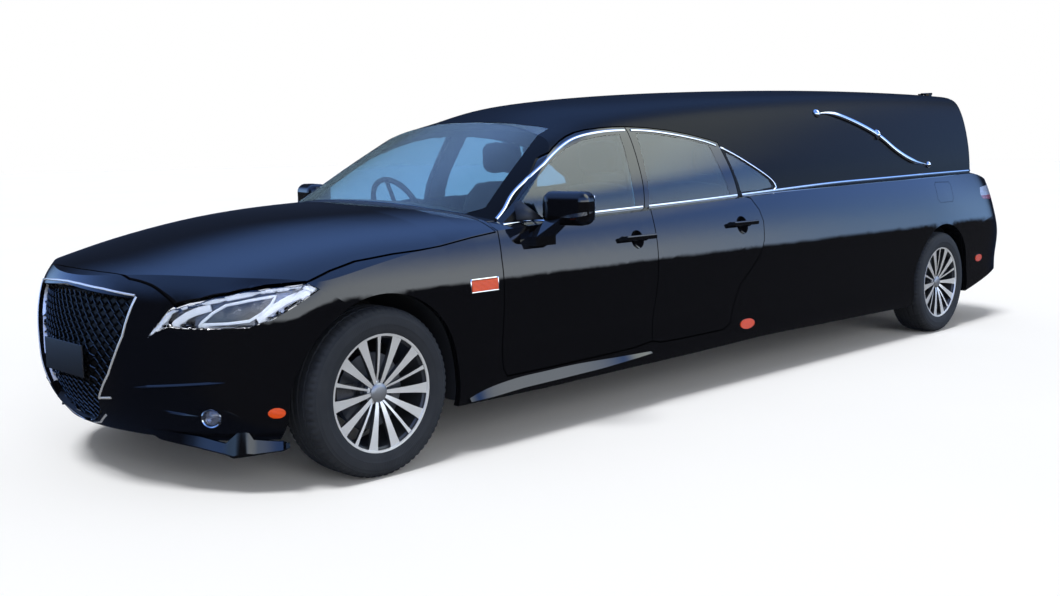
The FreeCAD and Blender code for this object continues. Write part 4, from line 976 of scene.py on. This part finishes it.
def pad(name, low, high, turn=None, sewn=True):
    """Crowned cushion: a rounded block, its faces swollen and its sewn channels drawn in."""
    bm = bmesh.new()
    size = high - low
    bmesh.ops.create_cube(bm, size=1.0)
    bmesh.ops.subdivide_edges(bm, edges=list(bm.edges), cuts=9, use_grid_fill=True)
    for v in bm.verts:
        u = v.co * 2
        blunt = Vector([math.copysign(abs(c) ** 0.85, c) for c in u])
        x, y, z = (1 - c ** 4 for c in u)
        full = x * y + y * z + x * z
        edge = 1 - DRAWN_IN * (abs(u.x * u.y) ** 3 + abs(u.y * u.z) ** 3 + abs(u.x * u.z) ** 3)
        channel = math.exp(-((abs(u.y) - CHANNEL_AT) / CHANNEL_WIDTH) ** 2) if sewn else 0.0
        drawn = 1 - CHANNEL_DEPTH * channel * (abs(u.y) < 0.9)
        scale = (0.5 - CROWN + CROWN * min(full, 1.0)) * edge * drawn
        v.co = Vector((blunt.x * size.x, blunt.y * size.y, blunt.z * size.z)) * scale
    if turn:
        bmesh.ops.transform(bm, matrix=turn, verts=bm.verts)
    bmesh.ops.translate(bm, vec=(low + high) / 2, verts=bm.verts)
    obj = piece(name, bm, "body", CLOTH, angle=60, slot="seat_cloth")
    rounding = obj.modifiers.new("Rounding", "SUBSURF")
    rounding.levels = rounding.render_levels = 1
    return obj


LEAN = Matrix.Rotation(math.radians(15), 4, "Y")


def seat_pads(name, s, y, width, top):
    """Cushion and back of a seat that starts at a station; returns the cushion."""
    half = width / 2
    cushion = pad(name + "_cushion", at(s, y - half, 330), at(s + 520, y + half, 480))
    pad(name + "_back", at(s + 500, y - half + 8, 430), at(s + 640, y + half - 8, top), turn=LEAN)
    return cushion


def rest_pad(name, s, y, z):
    """Headrest about a station, with its foot at a height."""
    pad(name, at(s - 45, y - 130, z), at(s + 45, y + 130, z + 170), sewn=False)


first = seat_pads("driver_seat", 1180, 370, 520, 1080)
seat_pads("passenger_seat", 1180, -370, 520, 1080)
rest_pad("driver_headrest", 1830, 370, 1120)
rest_pad("passenger_headrest", 1830, -370, 1120)
bench = seat_pads("rear_bench", 2120, 0, 1300, 1060)
rest_pad("rear_headrest_left", 2770, -400, 1090)
rest_pad("rear_headrest_right", 2770, 400, 1090)
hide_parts("front_seats")
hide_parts("rear_seat")


# Tailgate: blank plate under a bright strip
BACK_SKIN = skin("tailgate")


def rear_plate(bm):
    """Blank plate along the tailgate's slope."""
    (point, out), = traced(BACK_SKIN, FROM_BEHIND, [(0, 800)])
    middle = point + out * 0.007
    half = Vector((0.003, 0.165, 0.0825))
    turn = out.to_track_quat("X", "Z").to_matrix().to_4x4()
    rounded_block(bm, middle - half, middle + half, 0.002, turn=turn)


def tailgate_strip(bm):
    """Bright strip above the plate."""
    line = straight([(-400, 912), (400, 912)], 25)
    sweep(bm, traced(BACK_SKIN, FROM_BEHIND, line), MOULDING, taper=3)


piece("rear_plate_blank", bm_of(rear_plate), "rear_gate", TRIM)
piece("tailgate_strip", bm_of(tailgate_strip), "rear_gate", CHROME)


# Stage, light and camera
def backdrop():
    """Plain pale floor, which polished pieces don't mirror."""
    material, tree, shader, where = finish("pale_floor", Roughness=0.9, Specular_IOR_Level=0.1)
    cloud = noise(tree, where, 0.4)
    wire(tree, shader, {"Base Color": mixed(tree, cloud, "F4F4F4", "FAFAFA")})
    bm = bmesh.new()
    bmesh.ops.create_grid(bm, x_segments=1, y_segments=1, size=60)
    mesh = bpy.data.meshes.new("floor")
    bm.to_mesh(mesh)
    bm.free()
    mesh.materials.append(material)
    floor = bpy.data.objects.new("floor", mesh)
    bpy.context.collection.objects.link(floor)
    floor.visible_glossy = False


def sky():
    """White ground; polished pieces mirror an open sky on the left and a dark skyline elsewhere."""
    world = bpy.data.worlds.new("studio")
    bpy.context.scene.world = world
    world.use_nodes = True
    tree = world.node_tree
    view = add(tree, "TexCoord").outputs["Generated"]
    height = add(tree, "SeparateXYZ", {}, {"Vector": view}).outputs["Z"]

    def blend(value, low, high, below, above):
        return mixed(tree, ramp(tree, value, low, high, smooth=True), below, above)

    def toward(*heading):
        return add(tree, "VectorMath", {"operation": "DOT_PRODUCT"}, {0: view, 1: heading}).outputs["Value"]

    # linear colours, some of them brighter than white
    left = toward(0, -1, 0)
    haze = blend(left, 0.42, 0.78, (0.75, 1.3, 2.3, 1), (3.0, 3.25, 3.5, 1))
    blue = blend(height, 0.08, 0.40, haze, (0.45, 0.9, 2.3, 1))
    deep = blend(height, 0.45, 0.95, blue, (0.15, 0.3, 0.8, 1))
    open_side = blend(height, -0.01, 0.03, (0.05, 0.052, 0.06, 1), deep)
    far_side = blend(height, 0.28, 0.75, (0.02, 0.03, 0.06, 1), (0.3, 0.6, 1.5, 1))
    behind = blend(toward(-0.5, 0.86, 0), 0.7, 0.95, far_side, open_side)
    dome = blend(left, 0.05, 0.35, behind, open_side)
    cloudy = blend(toward(0.56, -0.45, 0.70), 0.90, 0.97, dome, (3.2, 3.5, 3.4, 1))
    seen = add(tree, "LightPath").outputs
    mirrored = mixed(tree, seen["Is Glossy Ray"], "9FA1A4", cloudy)
    clear = calc(tree, "MAXIMUM", seen["Is Camera Ray"], seen["Is Transmission Ray"])
    plain = mixed(tree, clear, mirrored, (1, 1, 1, 1))
    wire(tree, tree.nodes["Background"], {"Color": plain, "Strength": 1.0})


def daylight(name, strength, spread, heading):
    """Sun lamp with a spread in degrees, which shines along a heading."""
    lamp = bpy.data.lights.new(name, "SUN")
    lamp.energy = strength
    lamp.angle = math.radians(spread)
    obj = bpy.data.objects.new(name, lamp)
    bpy.context.collection.objects.link(obj)
    obj.rotation_euler = Vector(heading).to_track_quat("-Z", "Y").to_euler()
    obj.visible_glossy = False


def photo_camera():
    """Camera of the picture, as solved from it: place in metres, turns in radians, focal length in pixels."""
    place = Vector((-5.1369, -4.3729, 1.2782))
    yaw, pitch, roll = 0.787, -0.132, -0.012
    focal, picture_width = 1159.2, 1060
    forward = Vector((math.cos(pitch) * math.cos(yaw), math.cos(pitch) * math.sin(yaw), math.sin(pitch)))
    level = Vector((math.sin(yaw), -math.cos(yaw), 0))
    upright = level.cross(forward)
    right = level * math.cos(roll) + upright * math.sin(roll)
    up = upright * math.cos(roll) - level * math.sin(roll)
    data = bpy.data.cameras.new("camera")
    data.sensor_width = 36
    data.lens = focal / picture_width * data.sensor_width
    camera = bpy.data.objects.new("camera", data)
    bpy.context.collection.objects.link(camera)
    camera.matrix_world = Matrix.Translation(place) @ Matrix((right, up, -forward)).transposed().to_4x4()
    bpy.context.scene.camera = camera


backdrop()
sky()
# soft light from above keeps the shadow close under the body; a low fill lifts wheels and grille
daylight("overhead", 2.2, 18, (0.4, 0.1, -1.0))
daylight("fill", 1.2, 40, (0.35, 1.0, -0.3))
photo_camera()
bpy.context.scene.view_settings.view_transform = "Standard"
